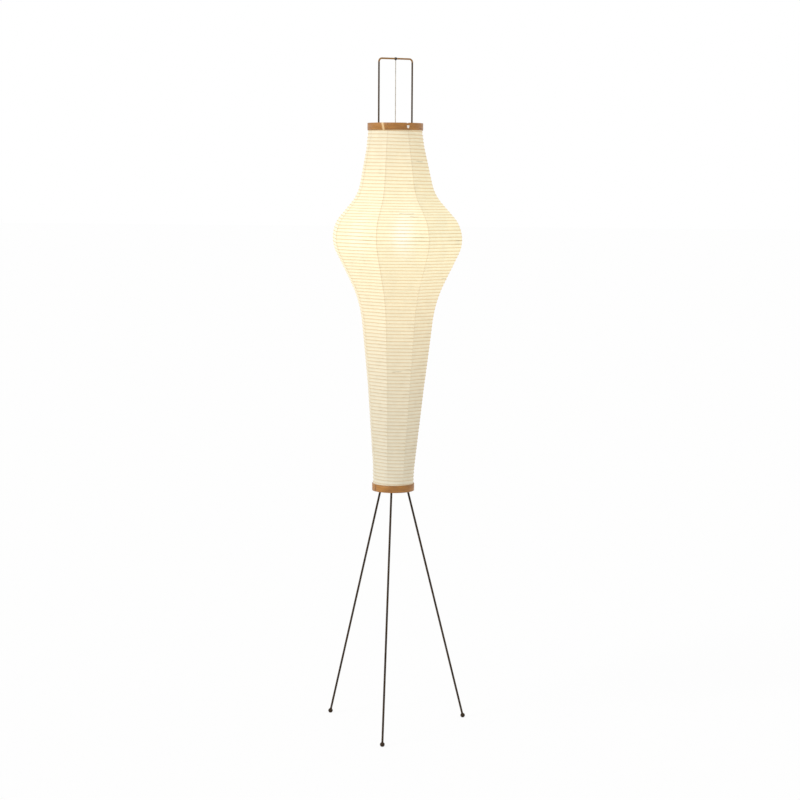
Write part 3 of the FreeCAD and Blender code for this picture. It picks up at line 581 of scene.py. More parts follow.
@dataclass(frozen=True)
class Bentwood(Finish):
    """Steam-bent beech veneer, oiled: long grain along the strip, a soft gloss, darker pores."""

    pale: str = "#BE8236"
    deep: str = "#7E4E1E"
    # pale pared wood with a painted highlight, and the joint's dark line with painted shade at the lapped
    # end's step
    pared_highlight: str = "#EBC792"
    joint_shade: str = "#5E3C20"

    def build(self) -> Material:
        """Makes the wood, its grain along the strip.

        Returns:
            The material.
        """
        material, put = self.start("oiled_beech")
        mix = partial(put, "Mix", out=2, data_type="RGBA")
        strip, _, _ = self.lay(put, "strip")
        _, pared_highlight_share, joint_shade = self.lay(put, "laps")
        # grain lines about 1.2 mm apart and 60 mm long
        along = put("Mapping", {"Vector": strip, "Scale": (0.018, 0.85, 1)})
        grain = put("TexNoise", {"Vector": along, "Scale": 1.0, "Detail": 6.0, "Roughness": 0.6,
                                 "Distortion": 0.4})
        wide = put("TexNoise", {"Vector": self.place(put), "Scale": 18.0})
        blend = put("Math", (wide, 0.45, grain), operation="MULTIPLY_ADD")
        share = put("MapRange", (blend, 0.55, 0.95, 0.0, 1.0))
        colour = mix({0: share, 6: linear(self.pale), 7: linear(self.deep)})
        pore = put("TexNoise", {"Vector": along, "Scale": 9.0, "Detail": 2.0})
        dark = put("MapRange", (pore, 0.60, 0.72, 1.0, 0.72))
        colour = put("VectorMath", {0: colour, "Scale": dark}, operation="SCALE")
        # the pared end is paler wood and a painted highlight; the joint is a dark line and painted shade at
        # the step
        for share, code in ((pared_highlight_share, self.pared_highlight), (joint_shade, self.joint_shade)):
            colour = mix({0: share, 6: colour, 7: linear(code)})
        rough = put("MapRange", (grain, 0.3, 0.7, 0.38, 0.54))
        return self.end(material, colour, grain, 0.0003, 0.35, Roughness=rough, Coat_Weight=0.06,
                        Coat_Roughness=0.4)


@dataclass(frozen=True)
class SplitBamboo(Finish):
    """Split bamboo: straw-coloured, with long fibres and a silky face."""

    pale: str = "#D9BE86"
    deep: str = "#A98550"

    def build(self) -> Material:
        """Makes the bamboo.

        Returns:
            The material.
        """
        material, put = self.start("split_bamboo")
        fibre = put("TexNoise", {"Vector": self.place(put, (1, 1, 9)), "Scale": 120.0, "Detail": 4.0})
        wide = put("TexNoise", {"Vector": self.place(put), "Scale": 9.0})
        both = put("Math", (fibre, wide), operation="MULTIPLY")
        share = put("MapRange", (both, 0.12, 0.40, 0.0, 1.0))
        colour = put("Mix", {0: share, 6: linear(self.pale), 7: linear(self.deep)}, 2, data_type="RGBA")
        return self.end(material, colour, fibre, 0.0002, 0.4, Roughness=0.5, Sheen_Weight=0.1)


@dataclass(frozen=True)
class BronzedSteel(Finish):
    """Steel rod or plate with a chemically darkened bronze finish: brown-black, rubbed lighter in places."""

    tone: Tone = Tone.LEG
    metallic: float = 0.1
    roughness: float = 0.6
    lit_crown: str = ""  # painted highlight above crown_z from the lamp's warm light, also rubbed by handling
    crown_z: float = 1.842
    rubbed: str = "#6A5438"

    def build(self) -> Material:
        """Makes the metal, with rubbed patches and fine draw lines.

        Returns:
            The material.
        """
        material, put = self.start("bronzed_steel_" + self.tone.name.lower())
        mix = partial(put, "Mix", out=2, data_type="RGBA")
        spot = self.place(put)
        patch = put("TexNoise", {"Vector": spot, "Scale": 32.0, "Detail": 6.0, "Roughness": 0.7})
        # draw lines about 0.3 mm apart, drawn 1 mm so they show
        line = put("TexNoise", {"Vector": self.place(put, (1, 1, 0.04)), "Scale": 900.0, "Detail": 2.0})
        share = put("MapRange", (patch, 0.35, 0.75, 0.0, 0.28))
        colour = mix({0: share, 6: linear(self.tone.value), 7: linear(self.rubbed)})
        # the top of the bar: a painted highlight of the lamp's warm light, also rubbed brighter by handling
        if self.lit_crown:
            height = put("SeparateXYZ", [spot], 2)
            high = put("MapRange", (height, self.crown_z - 0.006, self.crown_z))
            colour = mix({0: high, 6: colour, 7: linear(self.lit_crown)})
        dark = put("MapRange", (line, 0.35, 0.7, 0.93, 1.05))
        colour = put("VectorMath", {0: colour, "Scale": dark}, operation="SCALE")
        rough = put("MapRange", (patch, 0.3, 0.7, self.roughness - 0.08, self.roughness + 0.14))
        return self.end(material, colour, line, 0.00012, 0.3, Metallic=self.metallic, Roughness=rough,
                        Specular_IOR_Level=0.2)


@dataclass(frozen=True)
class SpunCord(Finish):
    """Spun cotton or linen thread: matt, with a fuzz that lightens its edges and darker valleys."""

    name: str = "cotton_twine"
    colour: str = "#E2DACB"
    shadow: str = "#A79D8C"
    grain: float = 700.0

    def build(self) -> Material:
        """Makes the thread.

        Returns:
            The material.
        """
        material, put = self.start(self.name)
        spot = self.place(put)
        fuzz = put("TexNoise", {"Vector": spot, "Scale": self.grain, "Detail": 4.0, "Distortion": 0.8})
        soil = put("TexNoise", {"Vector": spot, "Scale": 60.0})
        both = put("Math", (fuzz, soil), operation="MULTIPLY")
        share = put("MapRange", (both, 0.12, 0.42, 1.0, 0.0))
        tint = put("Mix", {0: share, 6: linear(self.colour), 7: linear(self.shadow)}, 2, data_type="RGBA")
        return self.end(material, tint, fuzz, 0.0003, 0.6, Roughness=0.9, Sheen_Weight=0.35,
                        Sheen_Roughness=0.6)


@dataclass(frozen=True)
class Moulded(Finish):
    """A moulded or plated surface: even colour with a faint cloudiness, and a fine texture from its mould."""

    name: str
    colour: str
    other: str
    metallic: float = 0.0
    roughness: float = 0.5
    texture: float = 500.0
    glow: float = 0.0

    def build(self) -> Material:
        """Makes the surface.

        Returns:
            The material.
        """
        material, put = self.start(self.name)
        spot = self.place(put)
        cloud = put("TexNoise", {"Vector": spot, "Scale": 45.0, "Detail": 5.0})
        fine = put("TexNoise", {"Vector": spot, "Scale": self.texture, "Detail": 3.0})
        share = put("MapRange", (cloud, 0.3, 0.7, 0.0, 1.0))
        tint = put("Mix", {0: share, 6: linear(self.colour), 7: linear(self.other)}, 2, data_type="RGBA")
        rough = put("MapRange", (fine, 0.3, 0.7, self.roughness - 0.06, self.roughness + 0.08))
        light = {"Emission_Color": tint, "Emission_Strength": self.glow} if self.glow else {}
        return self.end(material, tint, fine, 0.0001, 0.4, Metallic=self.metallic, Roughness=rough, **light)


# Rules that repeat a shape

class Rule:
    """A geometry tree with named inputs, run once on a guide and kept as a plain mesh."""

    def __init__(self, name: str, sizes: dict[str, float]) -> None:
        """Starts the tree.

        Args:
            name: Name of the tree.
            sizes: Named sizes and their values; whole numbers become integer inputs.
        """
        self.tree = bpy.data.node_groups.new(name, "GeometryNodeTree")
        self.put = partial(add_node, self.tree)
        self.values = sizes
        face = self.tree.interface
        face.new_socket(name="Geometry", in_out="INPUT", socket_type="NodeSocketGeometry")
        face.new_socket(name="Geometry", in_out="OUTPUT", socket_type="NodeSocketGeometry")
        self.keys: dict[str, str] = {}
        for key, value in {**sizes, "Finish": None}.items():
            kind = "Material" if value is None else "Int" if isinstance(value, int) else "Float"
            socket = face.new_socket(name=key, in_out="INPUT", socket_type="NodeSocket" + kind)
            self.keys[key] = socket.identifier
        self.given = self.put("NodeGroupInput").node.outputs

    def end(self, shape: Socket) -> None:
        """Closes the tree: instances made real, and the finish set.

        Args:
            shape: The last node's geometry.
        """
        real = self.put("GeometryNodeRealizeInstances", [shape])
        even = self.put("GeometryNodeSetShadeSmooth", [real])
        dressed = self.put("GeometryNodeSetMaterial", {0: even, "Material": self.given["Finish"]})
        self.put("NodeGroupOutput", [dressed])

    def repeat(self, shape: Socket) -> None:
        """Sets a shape on each of the guide's points, facing the point's way, and closes the tree.

        Args:
            shape: The shape's geometry.
        """
        way = self.put("GeometryNodeInputNamedAttribute", {"Name": "way"}, data_type="FLOAT_VECTOR")
        turn = self.put("FunctionNodeAlignRotationToVector", {"Vector": way}, axis="Z")
        points = self.put("GeometryNodeMeshToPoints", [self.given["Geometry"]])
        self.end(self.put("GeometryNodeInstanceOnPoints", {0: points, "Instance": shape, "Rotation": turn}))

    def run(self, name: str, guide: bpy.types.Object, finish: Material) -> bpy.types.Object:
        """Runs the tree on a guide and keeps the result as a plain mesh.

        Args:
            name: Name of the piece.
            guide: Curve or point mesh that the rule follows; it is removed.
            finish: Material.

        Returns:
            The piece.
        """
        rule = guide.modifiers.new("rule", "NODES")
        rule.node_group = self.tree
        for key, value in {**self.values, "Finish": finish}.items():
            rule[self.keys[key]] = value
        mesh = settled_mesh(guide)
        mesh.name = name
        if not mesh.materials:
            mesh.materials.append(finish)
        return placed(name, mesh)


class RibRule(Rule):
    """A split bamboo strip along the spiral, its width a little uneven."""

    def __init__(self, width: float, depth: float) -> None:
        """Builds the tree.

        Args:
            width: Height of the strip in metres.
            depth: Thickness of the strip in metres.
        """
        super().__init__("bamboo_rule", {"Width": width, "Depth": depth, "Unevenness": 0.00025, "Seed": 7})
        put, given = self.put, self.given
        upright = put("GeometryNodeSetCurveNormal", [given["Geometry"]], mode="Z_UP")
        outline = {"Width": given["Depth"], "Height": given["Width"]}
        section = put("GeometryNodeCurvePrimitiveQuadrilateral", outline)
        strip = put("GeometryNodeCurveToMesh", {0: upright, 1: section, "Fill Caps": True})
        place = put("GeometryNodeInputPosition")
        rough = put("TexNoise", {"Vector": place, "W": given["Seed"], "Scale": 35.0}, "Color",
                    noise_dimensions="4D")
        middle = put("VectorMath", (rough, (0.5, 0.5, 0.5)), operation="SUBTRACT")
        small = put("VectorMath", {0: middle, "Scale": given["Unevenness"]}, operation="SCALE")
        self.end(put("GeometryNodeSetPosition", {0: strip, "Offset": small}))


class StrandRule(Rule):
    """Strands laid round a cord's line in a steady twist."""

    def __init__(self, strands: int, offset: float, thickness: float, lay_length: float) -> None:
        """Builds the tree.

        Args:
            strands: How many strands.
            offset: Distance of a strand's middle from the cord's in metres.
            thickness: Radius of a strand in metres.
            lay_length: Metres for one full twist.
        """
        super().__init__("strand_rule", {"Strands": strands, "Offset": offset, "Thickness": thickness,
                                         "Twist": 2 * math.pi / lay_length})
        put, given = self.put, self.given
        fine = put("GeometryNodeResampleCurve", {"Curve": given["Geometry"], "Length": lay_length / 10},
                   mode="LENGTH")
        copies = put("GeometryNodeDuplicateElements", {0: fine, "Amount": given["Strands"]}, domain="SPLINE")
        share = put("Math", (copies.node.outputs[1], given["Strands"]), operation="DIVIDE")
        first = put("Math", (share, 2 * math.pi), operation="MULTIPLY")
        along = put("GeometryNodeSplineParameter", out="Length")
        turn = put("Math", (along, given["Twist"], first), operation="MULTIPLY_ADD")
        side = put("GeometryNodeInputNormal")
        other = put("VectorMath", (put("GeometryNodeInputTangent"), side), operation="CROSS_PRODUCT")
        parts = []
        for way, operation in ((side, "COSINE"), (other, "SINE")):
            wave = put("Math", [turn], operation=operation)
            reach = put("Math", (wave, given["Offset"]), operation="MULTIPLY")
            parts.append(put("VectorMath", {0: way, "Scale": reach}, operation="SCALE"))
        shift = put("VectorMath", parts, operation="ADD")
        wound = put("GeometryNodeSetPosition", {0: copies, "Offset": shift})
        section = put("GeometryNodeCurvePrimitiveCircle", {"Resolution": 10, "Radius": given["Thickness"]})
        self.end(put("GeometryNodeCurveToMesh", {0: wound, 1: section, "Fill Caps": True}))


class TackRule(Rule):
    """Small domed tack heads, one on each point, facing the point's way."""

    def __init__(self, radius: float) -> None:
        """Builds the tree.

        Args:
            radius: Radius of a head in metres.
        """
        super().__init__("tack_rule", {"Radius": radius})
        ball = {"Segments": 14, "Rings": 8, "Radius": self.given["Radius"]}
        head = self.put("GeometryNodeMeshUVSphere", ball)
        self.repeat(self.put("GeometryNodeTransform", {0: head, "Scale": (1, 1, 0.5)}))


class WhippingRule(Rule):
    """Turns of thread side by side round a rod, one on each point, facing along the rod."""

    def __init__(self, radius: float, thread: float) -> None:
        """Builds the tree.

        Args:
            radius: Radius of a turn in metres.
            thread: Radius of the thread in metres.
        """
        super().__init__("whipping_rule", {"Radius": radius, "Thread": thread})
        circle = partial(self.put, "GeometryNodeCurvePrimitiveCircle")
        ring = circle({"Resolution": 40, "Radius": self.given["Radius"]})
        section = circle({"Resolution": 10, "Radius": self.given["Thread"]})
        self.repeat(self.put("GeometryNodeCurveToMesh", (ring, section)))


# The stand

@dataclass
class Stand:
    """Three raked legs on ball feet, two uprights, and the bail over the shade. Sizes in millimetres."""

    foot_circle: float = 219.6
    ball_r: float = 6.5
    ball_z: float = 6.2
    leg_d: float = 5.8
    leg_top_r: float = 22.5
    hub_z: float = 743.0
    rod_d: float = 4.6
    spread: float = 100.0
    upright_low: float = 747.0
    bridge_z: float = 1268.0
    bridge_thick: float = 3.0
    top_z: float = 1850.0
    corner_r: float = 9.0
    turn: float = 32.25
    thread_r: float = 0.45
    thread_step: float = 0.8
    legs: dict[str, float] = field(default_factory=lambda: {"leg_front": -90.0, "leg_right": 30.0,
                                                            "leg_left": 150.0})

    def leg_line(self, angle: float) -> tuple[Vector, Vector]:
        """A leg's line.

        Args:
            angle: Angle of the leg in degrees.

        Returns:
            Centre of its ball foot, and the way up the leg.
        """
        foot = on_axis(self.foot_circle, angle, self.ball_z)
        return foot, (on_axis(self.leg_top_r, angle, self.hub_z) - foot).normalized()

    def make_rod(self, node: str, path: Sequence[Vector], diameter: float, finish: Material,
                 sides: int = 20) -> None:
        """One drawn rod.

        Args:
            node: Node that it replaces.
            path: Points of the rod in metres.
            diameter: Its thickness in millimetres.
            finish: The metal.
            sides: Sides of its section.
        """
        rod = new_piece(node + "_rod", tube(path, diameter / 2 * MM, sides), finish)
        settle(rod, Body.STAND, "bronze_wire", node)

    def make_legs(self) -> None:
        """Three drawn rods from inside the balls to under the hub."""
        finish = BronzedSteel(Tone.LEG).build()
        for name, angle in self.legs.items():
            low, ahead = self.leg_line(angle)
            stop = (self.hub_z * MM - low.z - 0.8 * MM) / ahead.z
            path = [low + ahead * (stop * k / 12 if k else 3.0 * MM) for k in range(13)]
            self.make_rod(name, path, self.leg_d, finish, 24)

    def make_balls(self) -> None:
        """Ball feet, ground flat underneath, with a small collar where the leg enters."""
        forms = []
        for angle in self.legs.values():
            spot, ahead = self.leg_line(angle)
            leans = [math.pi * (k / 24 - 0.5) for k in range(1, 24)]
            levels = [(self.ball_r * math.cos(a) * MM, max(self.ball_r * math.sin(a), -self.ball_z) * MM)
                      for a in leans]
            forms.append(lathe(levels, 32, tuple(spot)))
            collar = [spot + ahead * (d * MM) for d in (5.2, 6.3, 7.2, 7.6)]
            forms.append(tube(collar, 3.15 * MM, 24, rounding=0.45 * MM))
        balls = new_piece("ball_feet", joined(forms), BronzedSteel(Tone.BALL, 0.2, 0.5).build())
        settle(balls, Body.STAND, "ball_feet", "foot_balls")

    def make_uprights(self) -> None:
        """Two rods from the hub up to the bridge."""
        finish = BronzedSteel(Tone.UPRIGHT).build()
        for name in ("upright_left", "upright_right"):
            low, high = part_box(name)
            foot = Vector(((low.x + high.x) / 2, (low.y + high.y) / 2, low.z))
            path = [foot + UP * ((self.bridge_z - self.upright_low) * MM * k / 10) for k in range(11)]
            self.make_rod(name, path, self.rod_d, finish)

    def make_bail(self) -> None:
        """One bent rod: up from the bridge on both sides and across over the shade."""
        half, r = self.spread / 2, self.corner_r
        low, high = self.bridge_z + self.bridge_thick, self.top_z - self.rod_d / 2
        right = [(half, low + (high - r - low) * k / 12) for k in range(12)]
        right += [(half - r + r * math.cos(math.radians(a)), high - r + r * math.sin(math.radians(a)))
                  for a in range(0, 91, 10)]
        across = right + [(x, high) for x in (25, 12, 0, -12, -25)] + [(-x, z) for x, z in right[::-1]]
        path = [on_axis(x, self.turn, z) for x, z in across]
        self.make_rod("bail", path, self.rod_d, BronzedSteel(Tone.BAIL, 0.2, 0.5, "#9A7038").build())

    def make_whipping(self) -> None:
        """Dark waxed thread wound round the middle of the cross bar, in two layers."""
        finish = SpunCord("waxed_thread", "#4A3E30", "#241C14", 900.0).build()
        way = (on_axis(1, self.turn, 0) - on_axis(0, 0, 0)).normalized()
        middle = on_axis(0, 0, self.top_z - self.rod_d / 2)
        for name, radius, start, turns, nodes in (("bar_whipping_2", 2.75, -3.0, 8, ["bar_knot"]),
                                                  ("bar_whipping_3", 3.45, -1.4, 4, [])):
            points = [middle + way * ((start + self.thread_step * k) * MM) for k in range(turns)]
            rule = WhippingRule(radius * MM, self.thread_r * MM)
            layer = rule.run(name, guide_points(points, [way] * turns), finish)
            settle(layer, Body.STAND, "dark_whipping", *nodes)
        drop = [middle - UP * (z * MM) for z in (2.4, 3.2, 4.0, 5.2)]
        tail = new_piece("whipping_tail", tube(drop, 1.5 * MM, 16, rounding=0.4 * MM), finish)
        settle(tail, Body.STAND, "dark_whipping")

    def build(self) -> None:
        """Makes every piece of the stand."""
        self.make_legs()
        self.make_balls()
        self.make_uprights()
        self.make_bail()
        self.make_whipping()


# The shade

@dataclass
class Profile:
    """The shade's outline at a gore's corner: straight runs with an arc at each bend. Millimetres."""

    corners: tuple[Pair, ...] = ((73.2, 1655.0), (109.5, 1482.0), (204.0, 1377.0), (108.5, 1191.0),
                                 (81.0, 952.0), (55.9, 687.0))
    arcs: tuple[float, ...] = (114.0, 90.5, 319.0, 600.0)
    tuck: float = 7.0
    round_off: float = 80.0
    step: float = 1.5

    def __post_init__(self) -> None:
        """Works out points along the outline and their distance from its top."""
        top, bottom = Vector(self.corners[0]), Vector(self.corners[-1])
        spots = [top + Vector((0, self.tuck)), top]
        for i, radius in enumerate(self.arcs, start=1):
            spots += self.arc_at(i, radius)
        spots += [bottom, bottom - Vector((0, self.tuck))]
        self.spots, self.reach = [spots[0]], [0.0]
        for start, spot in zip(spots, spots[1:]):
            run = spot - start
            parts = max(1, math.ceil(run.length / self.step))
            self.spots += [start + run * (k / parts) for k in range(1, parts + 1)]
        for a, b in zip(self.spots, self.spots[1:]):
            self.reach.append(self.reach[-1] + (b - a).length)
        self.total = self.reach[-1]
        self.top, self.low = top.y, bottom.y

    def arc_at(self, i: int, radius: float) -> list[Vector]:
        """Points of the arc at one bend.

        Args:
            i: Number of the corner.
            radius: Radius of the arc.

        Returns:
            Points from the arc's start to its end.
        """
        corner = Vector(self.corners[i])
        back, ahead = ((Vector(self.corners[n]) - corner).normalized() for n in (i - 1, i + 1))
        half = back.angle(ahead) / 2
        middle = corner + (back + ahead).normalized() * (radius / math.sin(half))
        first, last = (corner + way * (radius / math.tan(half)) - middle for way in (back, ahead))
        sweep = first.angle_signed(last)
        parts = max(4, math.ceil(abs(sweep) * radius / self.step))
        turns = [Matrix.Rotation(-sweep * k / parts, 2) for k in range(parts + 1)]
        return [middle + turn @ first for turn in turns]

    def at(self, reach: float) -> tuple[float, float, float, float]:
        """Where the outline is at a distance from its top.

        Args:
            reach: Distance along the outline.

        Returns:
            Corner radius, height, and the outward normal's two parts.
        """
        reach = min(max(reach, 0.0), self.total)
        i = min(max(bisect_right(self.reach, reach) - 1, 0), len(self.spots) - 2)
        a, b = self.spots[i], self.spots[i + 1]
        spot = a.lerp(b, (reach - self.reach[i]) / (self.reach[i + 1] - self.reach[i]))
        along = (b - a).normalized()
        return spot.x, spot.y, -along.y, along.x

    def roundness(self, height: float) -> float:
        """How round the section is.

        Args:
            height: Height in millimetres.

        Returns:
            1 at the rings, where it is a circle, and 0 where it has eight flat sides.
        """
        away = min(height - self.low, self.top - height) / self.round_off
        share = min(max(1 - away, 0.0), 1.0)
        return share * share * (3 - 2 * share)


@dataclass
class PaperShade:
    """Eight gores of washi over one spiral rib. Sizes in millimetres."""

    profile: Profile = field(default_factory=Profile)
    seam: float = -55.75
    gores: int = 8
    turns: int = 104
    rib_start: float = 10.0
    paper: float = 0.35
    hollow: float = 2.0
    columns: int = 8
    rows: int = 6
    bow: float = 7.8  # how far the hanging paper stands off the axis
    keep: float = 0.752  # share of its height that is left when the top ring is down
    rib_width: float = 2.0
    rib_depth: float = 1.6
    hot_spot_shares: tuple[float, ...] = (0.1, 0.4, 0.5, 0.3, 0.5, 0.4, 0.35, 1.0)  # painted pool of the bulb's light on each leaf, 1 the strongest
    strays: int = 13  # long fibres laid at random, beside those that the photograph shows
    fibre_r: Pair = (0.28, 0.40)
    # where the photograph shows long fibres: degrees from the first seam, height, length
    fibres: tuple[Point, ...] = ((24.0, 1573.0, 26.0), (40.0, 1255.0, 20.0), (334.0, 1004.0, 24.0),
                                 (343.0, 1434.0, 38.0), (350.0, 1426.0, 22.0))

    def __post_init__(self) -> None:
        """Works out the rise of the spiral along the outline."""
        self.pitch = (self.profile.total - 2 * self.rib_start) / self.turns
        self.step = 360 / self.gores

    def sway(self, height: float) -> Vector:
        """How far the hanging paper stands off the axis, to the right of the photograph.

        Args:
            height: Height in millimetres.

        Returns:
            The shift in metres.
        """
        share = (height - self.profile.low) / (self.profile.top - self.profile.low)
        share = min(max(share, 0.0), 1.0)
        return Vector((0.9937, 0.1123, 0.0)) * (self.bow * math.sin(math.pi * share) ** 1.3 * MM)

    def spot(self, turned: float, reach: float, inward: float) -> Vector:
        """A point on the shade.

        Args:
            turned: Degrees round from the first seam.
            reach: Distance down the outline in millimetres.
            inward: Distance in from the paper's outer face in millimetres.

        Returns:
            The point in metres.
        """
        radius, height, out, up = self.profile.at(reach)
        gore = turned // self.step
        share = turned / self.step - gore
        angles = [math.radians(self.seam + (gore + part) * self.step) for part in (0, 0.5, 1, share)]
        first, middle, last, arc = (Vector((math.cos(a), math.sin(a))) for a in angles)
        round_part = self.profile.roundness(height)
        flat = first.lerp(last, share).lerp(arc, round_part) * radius
        flat -= middle.lerp(arc, round_part).normalized() * (inward * out)
        return Vector((flat.x * MM, AXIS_Y + flat.y * MM, (height - inward * up) * MM)) + self.sway(height)

    def phase(self, turned: float, reach: float) -> float:
        """Turns of the rib passed at a place: a whole number where the rib lies behind the paper."""
        return (reach - self.rib_start) / self.pitch - turned / 360

    def dip(self, turned: float, reach: float) -> float:
        """How far the paper is drawn in between two ribs.

        Args:
            turned: Degrees round from the first seam.
            reach: Distance down the outline.

        Returns:
            Millimetres inwards.
        """
        # the paper lies on a rib for 0.07 of a turn each side, and its dips grow over 8 mm past the end turns
        part = min(max((self.phase(turned, reach) % 1 - 0.07) / 0.86, 0.0), 1.0)
        hung = 1.0
        for away in (reach, self.profile.total - reach):
            hung *= min(max((away - self.rib_start) / 8, 0.0), 1.0)
        slack = 0.35 * max(0.0, noise.noise(Vector((turned * 0.11, reach * 0.045, 3.0))) + 0.25)
        taut = 0.7 + 0.3 * math.sin(math.pi * (turned % self.step) / self.step)
        return hung * (self.hollow * 4 * part * (1 - part) * taut + slack)

    def column_reaches(self, turned: float) -> list[float]:
        """Distances down the outline of one column's points, from the top edge to the bottom edge.

        Args:
            turned: Degrees round from the first seam.

        Returns:
            Distances in millimetres. Between the end bands they run with the rib.
        """
        ends = (0.5, self.turns - 1.5)
        first, last = (self.rib_start + self.pitch * (turn + turned / 360) for turn in ends)
        steps = (self.turns - 2) * self.rows
        top = [first * k / 10 for k in range(10)]
        middle = [first + (last - first) * k / steps for k in range(steps + 1)]
        return top + middle + [last + (self.profile.total - last) * k / 14 for k in range(1, 15)]

    def gore_form(self, k: int) -> tuple[Form, list[Pair]]:
        """One gore as a thin closed leaf.

        Args:
            k: Number of the gore, from 0.

        Returns:
            The form, and for each point its millimetres from the seam and its turns of the rib.
        """
        front: list[list[Vector]] = []
        back: list[list[Vector]] = []
        marks: list[list[Pair]] = []
        for i in range(self.columns + 1):
            turned = self.step * (k + i / self.columns)
            inside = min(max(turned, self.step * k + 1e-6), self.step * (k + 1) - 1e-6)
            reaches = self.column_reaches(turned)
            depths = [self.dip(turned, s) for s in reaches]
            for side, more in ((front, 0.0), (back, self.paper)):
                side.append([self.spot(inside, s, d + more) for s, d in zip(reaches, depths)])
            chord = 2 * math.sin(math.pi / self.gores) * i / self.columns
            marks.append([(self.profile.at(s)[0] * chord, self.phase(turned, s)) for s in reaches])
        sides = 2 * (self.columns + 1)
        points, faces = skinned([spot for ring in zip(*front, *back[::-1]) for spot in ring], sides)
        # the leaf's two ends are long, thin and bent, so they are closed in strips
        faces[-2:] = [(first + i, first + i + 1, first + sides - 2 - i, first + sides - 1 - i)
                      for first in (0, len(points) - sides) for i in range(self.columns)]
        return (points, faces), [mark for ring in zip(*marks, *marks[::-1]) for mark in ring]

    def fold(self, piece: bpy.types.Object) -> None:
        """Gives a piece its own copy of its mesh.

        Args:
            piece: A piece that rides on the stand.
        """
        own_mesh(piece)

    def make_paper(self) -> None:
        """Pastes the eight gores over the rib."""
        finish = Washi(pitch=self.pitch).build()
        for k in range(self.gores):
            form, lay = self.gore_form(k)
            piece = new_piece("washi_gore_%d" % (k + 1), form, finish, 60.0)
            set_maps(piece.data, lay=lay)
            # each leaf's share of the painted pool of the bulb's light
            hot_spot = piece.data.attributes.new("hot_spot", "FLOAT", "POINT")
            hot_spot.data.foreach_set("value", [self.hot_spot_shares[k]] * len(lay))
            self.fold(settle(piece, Body.STAND, "washi", "paper_gore_%d" % (k + 1)))

    def reach_at(self, height: float) -> float:
        """Distance down the outline to a height in millimetres."""
        return next(s for s, spot in zip(self.profile.reach, self.profile.spots) if spot.y <= height)

    def make_fibres(self) -> None:
        """Lays a few long bark fibres in the paper, as the pulp leaves them."""
        draw = random.Random(31)
        spots = [*self.fibres]
        spots += [(draw.uniform(50, 265), draw.uniform(760, 1600), draw.uniform(9, 26))
                  for _ in range(self.strays)]
        forms = []
        for turned, height, length in spots:
            reach = self.reach_at(height)
            width = math.degrees(length / (self.profile.at(reach)[0] * 0.95))
            lean, curl = draw.uniform(-3.0, 3.0), draw.uniform(-1.5, 1.5)
            path = []
            for share in (k / 16 - 0.5 for k in range(17)):
                round_at = (turned + width * share) % 360
                down = reach + lean * share + curl * math.cos(math.pi * share)
                path.append(self.spot(round_at, down, self.dip(round_at, down) - 0.10))
            forms.append(tube(path, draw.uniform(*self.fibre_r) * MM, 6, rounding=0.1 * MM))
        bark = SpunCord("mulberry_bark", "#7C6642", "#4C3B24").build()
        self.fold(settle(new_piece("bark_fibres", joined(forms), bark), Body.STAND, "washi"))

    def make_rib(self) -> None:
        """Bends one split bamboo round inside the paper, straight from seam to seam."""
        path = []
        halves = self.gores * 2
        for i in range(self.turns * halves + 1):
            reach = self.rib_start + self.pitch * i / halves
            _, height, out, up = self.profile.at(reach)
            if i % 2 and self.profile.roundness(height) < 0.02:
                continue
            inward = self.rib_depth / 2 * out + self.rib_width / 2 * abs(up) + self.paper + 0.3
            path.append(self.spot((360 * i / halves) % 360, reach, inward / (1.0 if i % 2 else 0.98)))
        rule = RibRule(self.rib_width * MM, self.rib_depth * MM)
        piece = rule.run("bamboo_spiral", guide_line(path), SplitBamboo().build())
        self.fold(settle(piece, Body.STAND, "bamboo", "bamboo_rib"))

    def build(self) -> None:
        """Makes the paper and its rib."""
        self.make_paper()
        self.make_fibres()
        self.make_rib()


def apart(angle: float, other: float) -> float:
    """Degrees between two directions round the axis."""
    return abs((angle - other + 180) % 360 - 180)


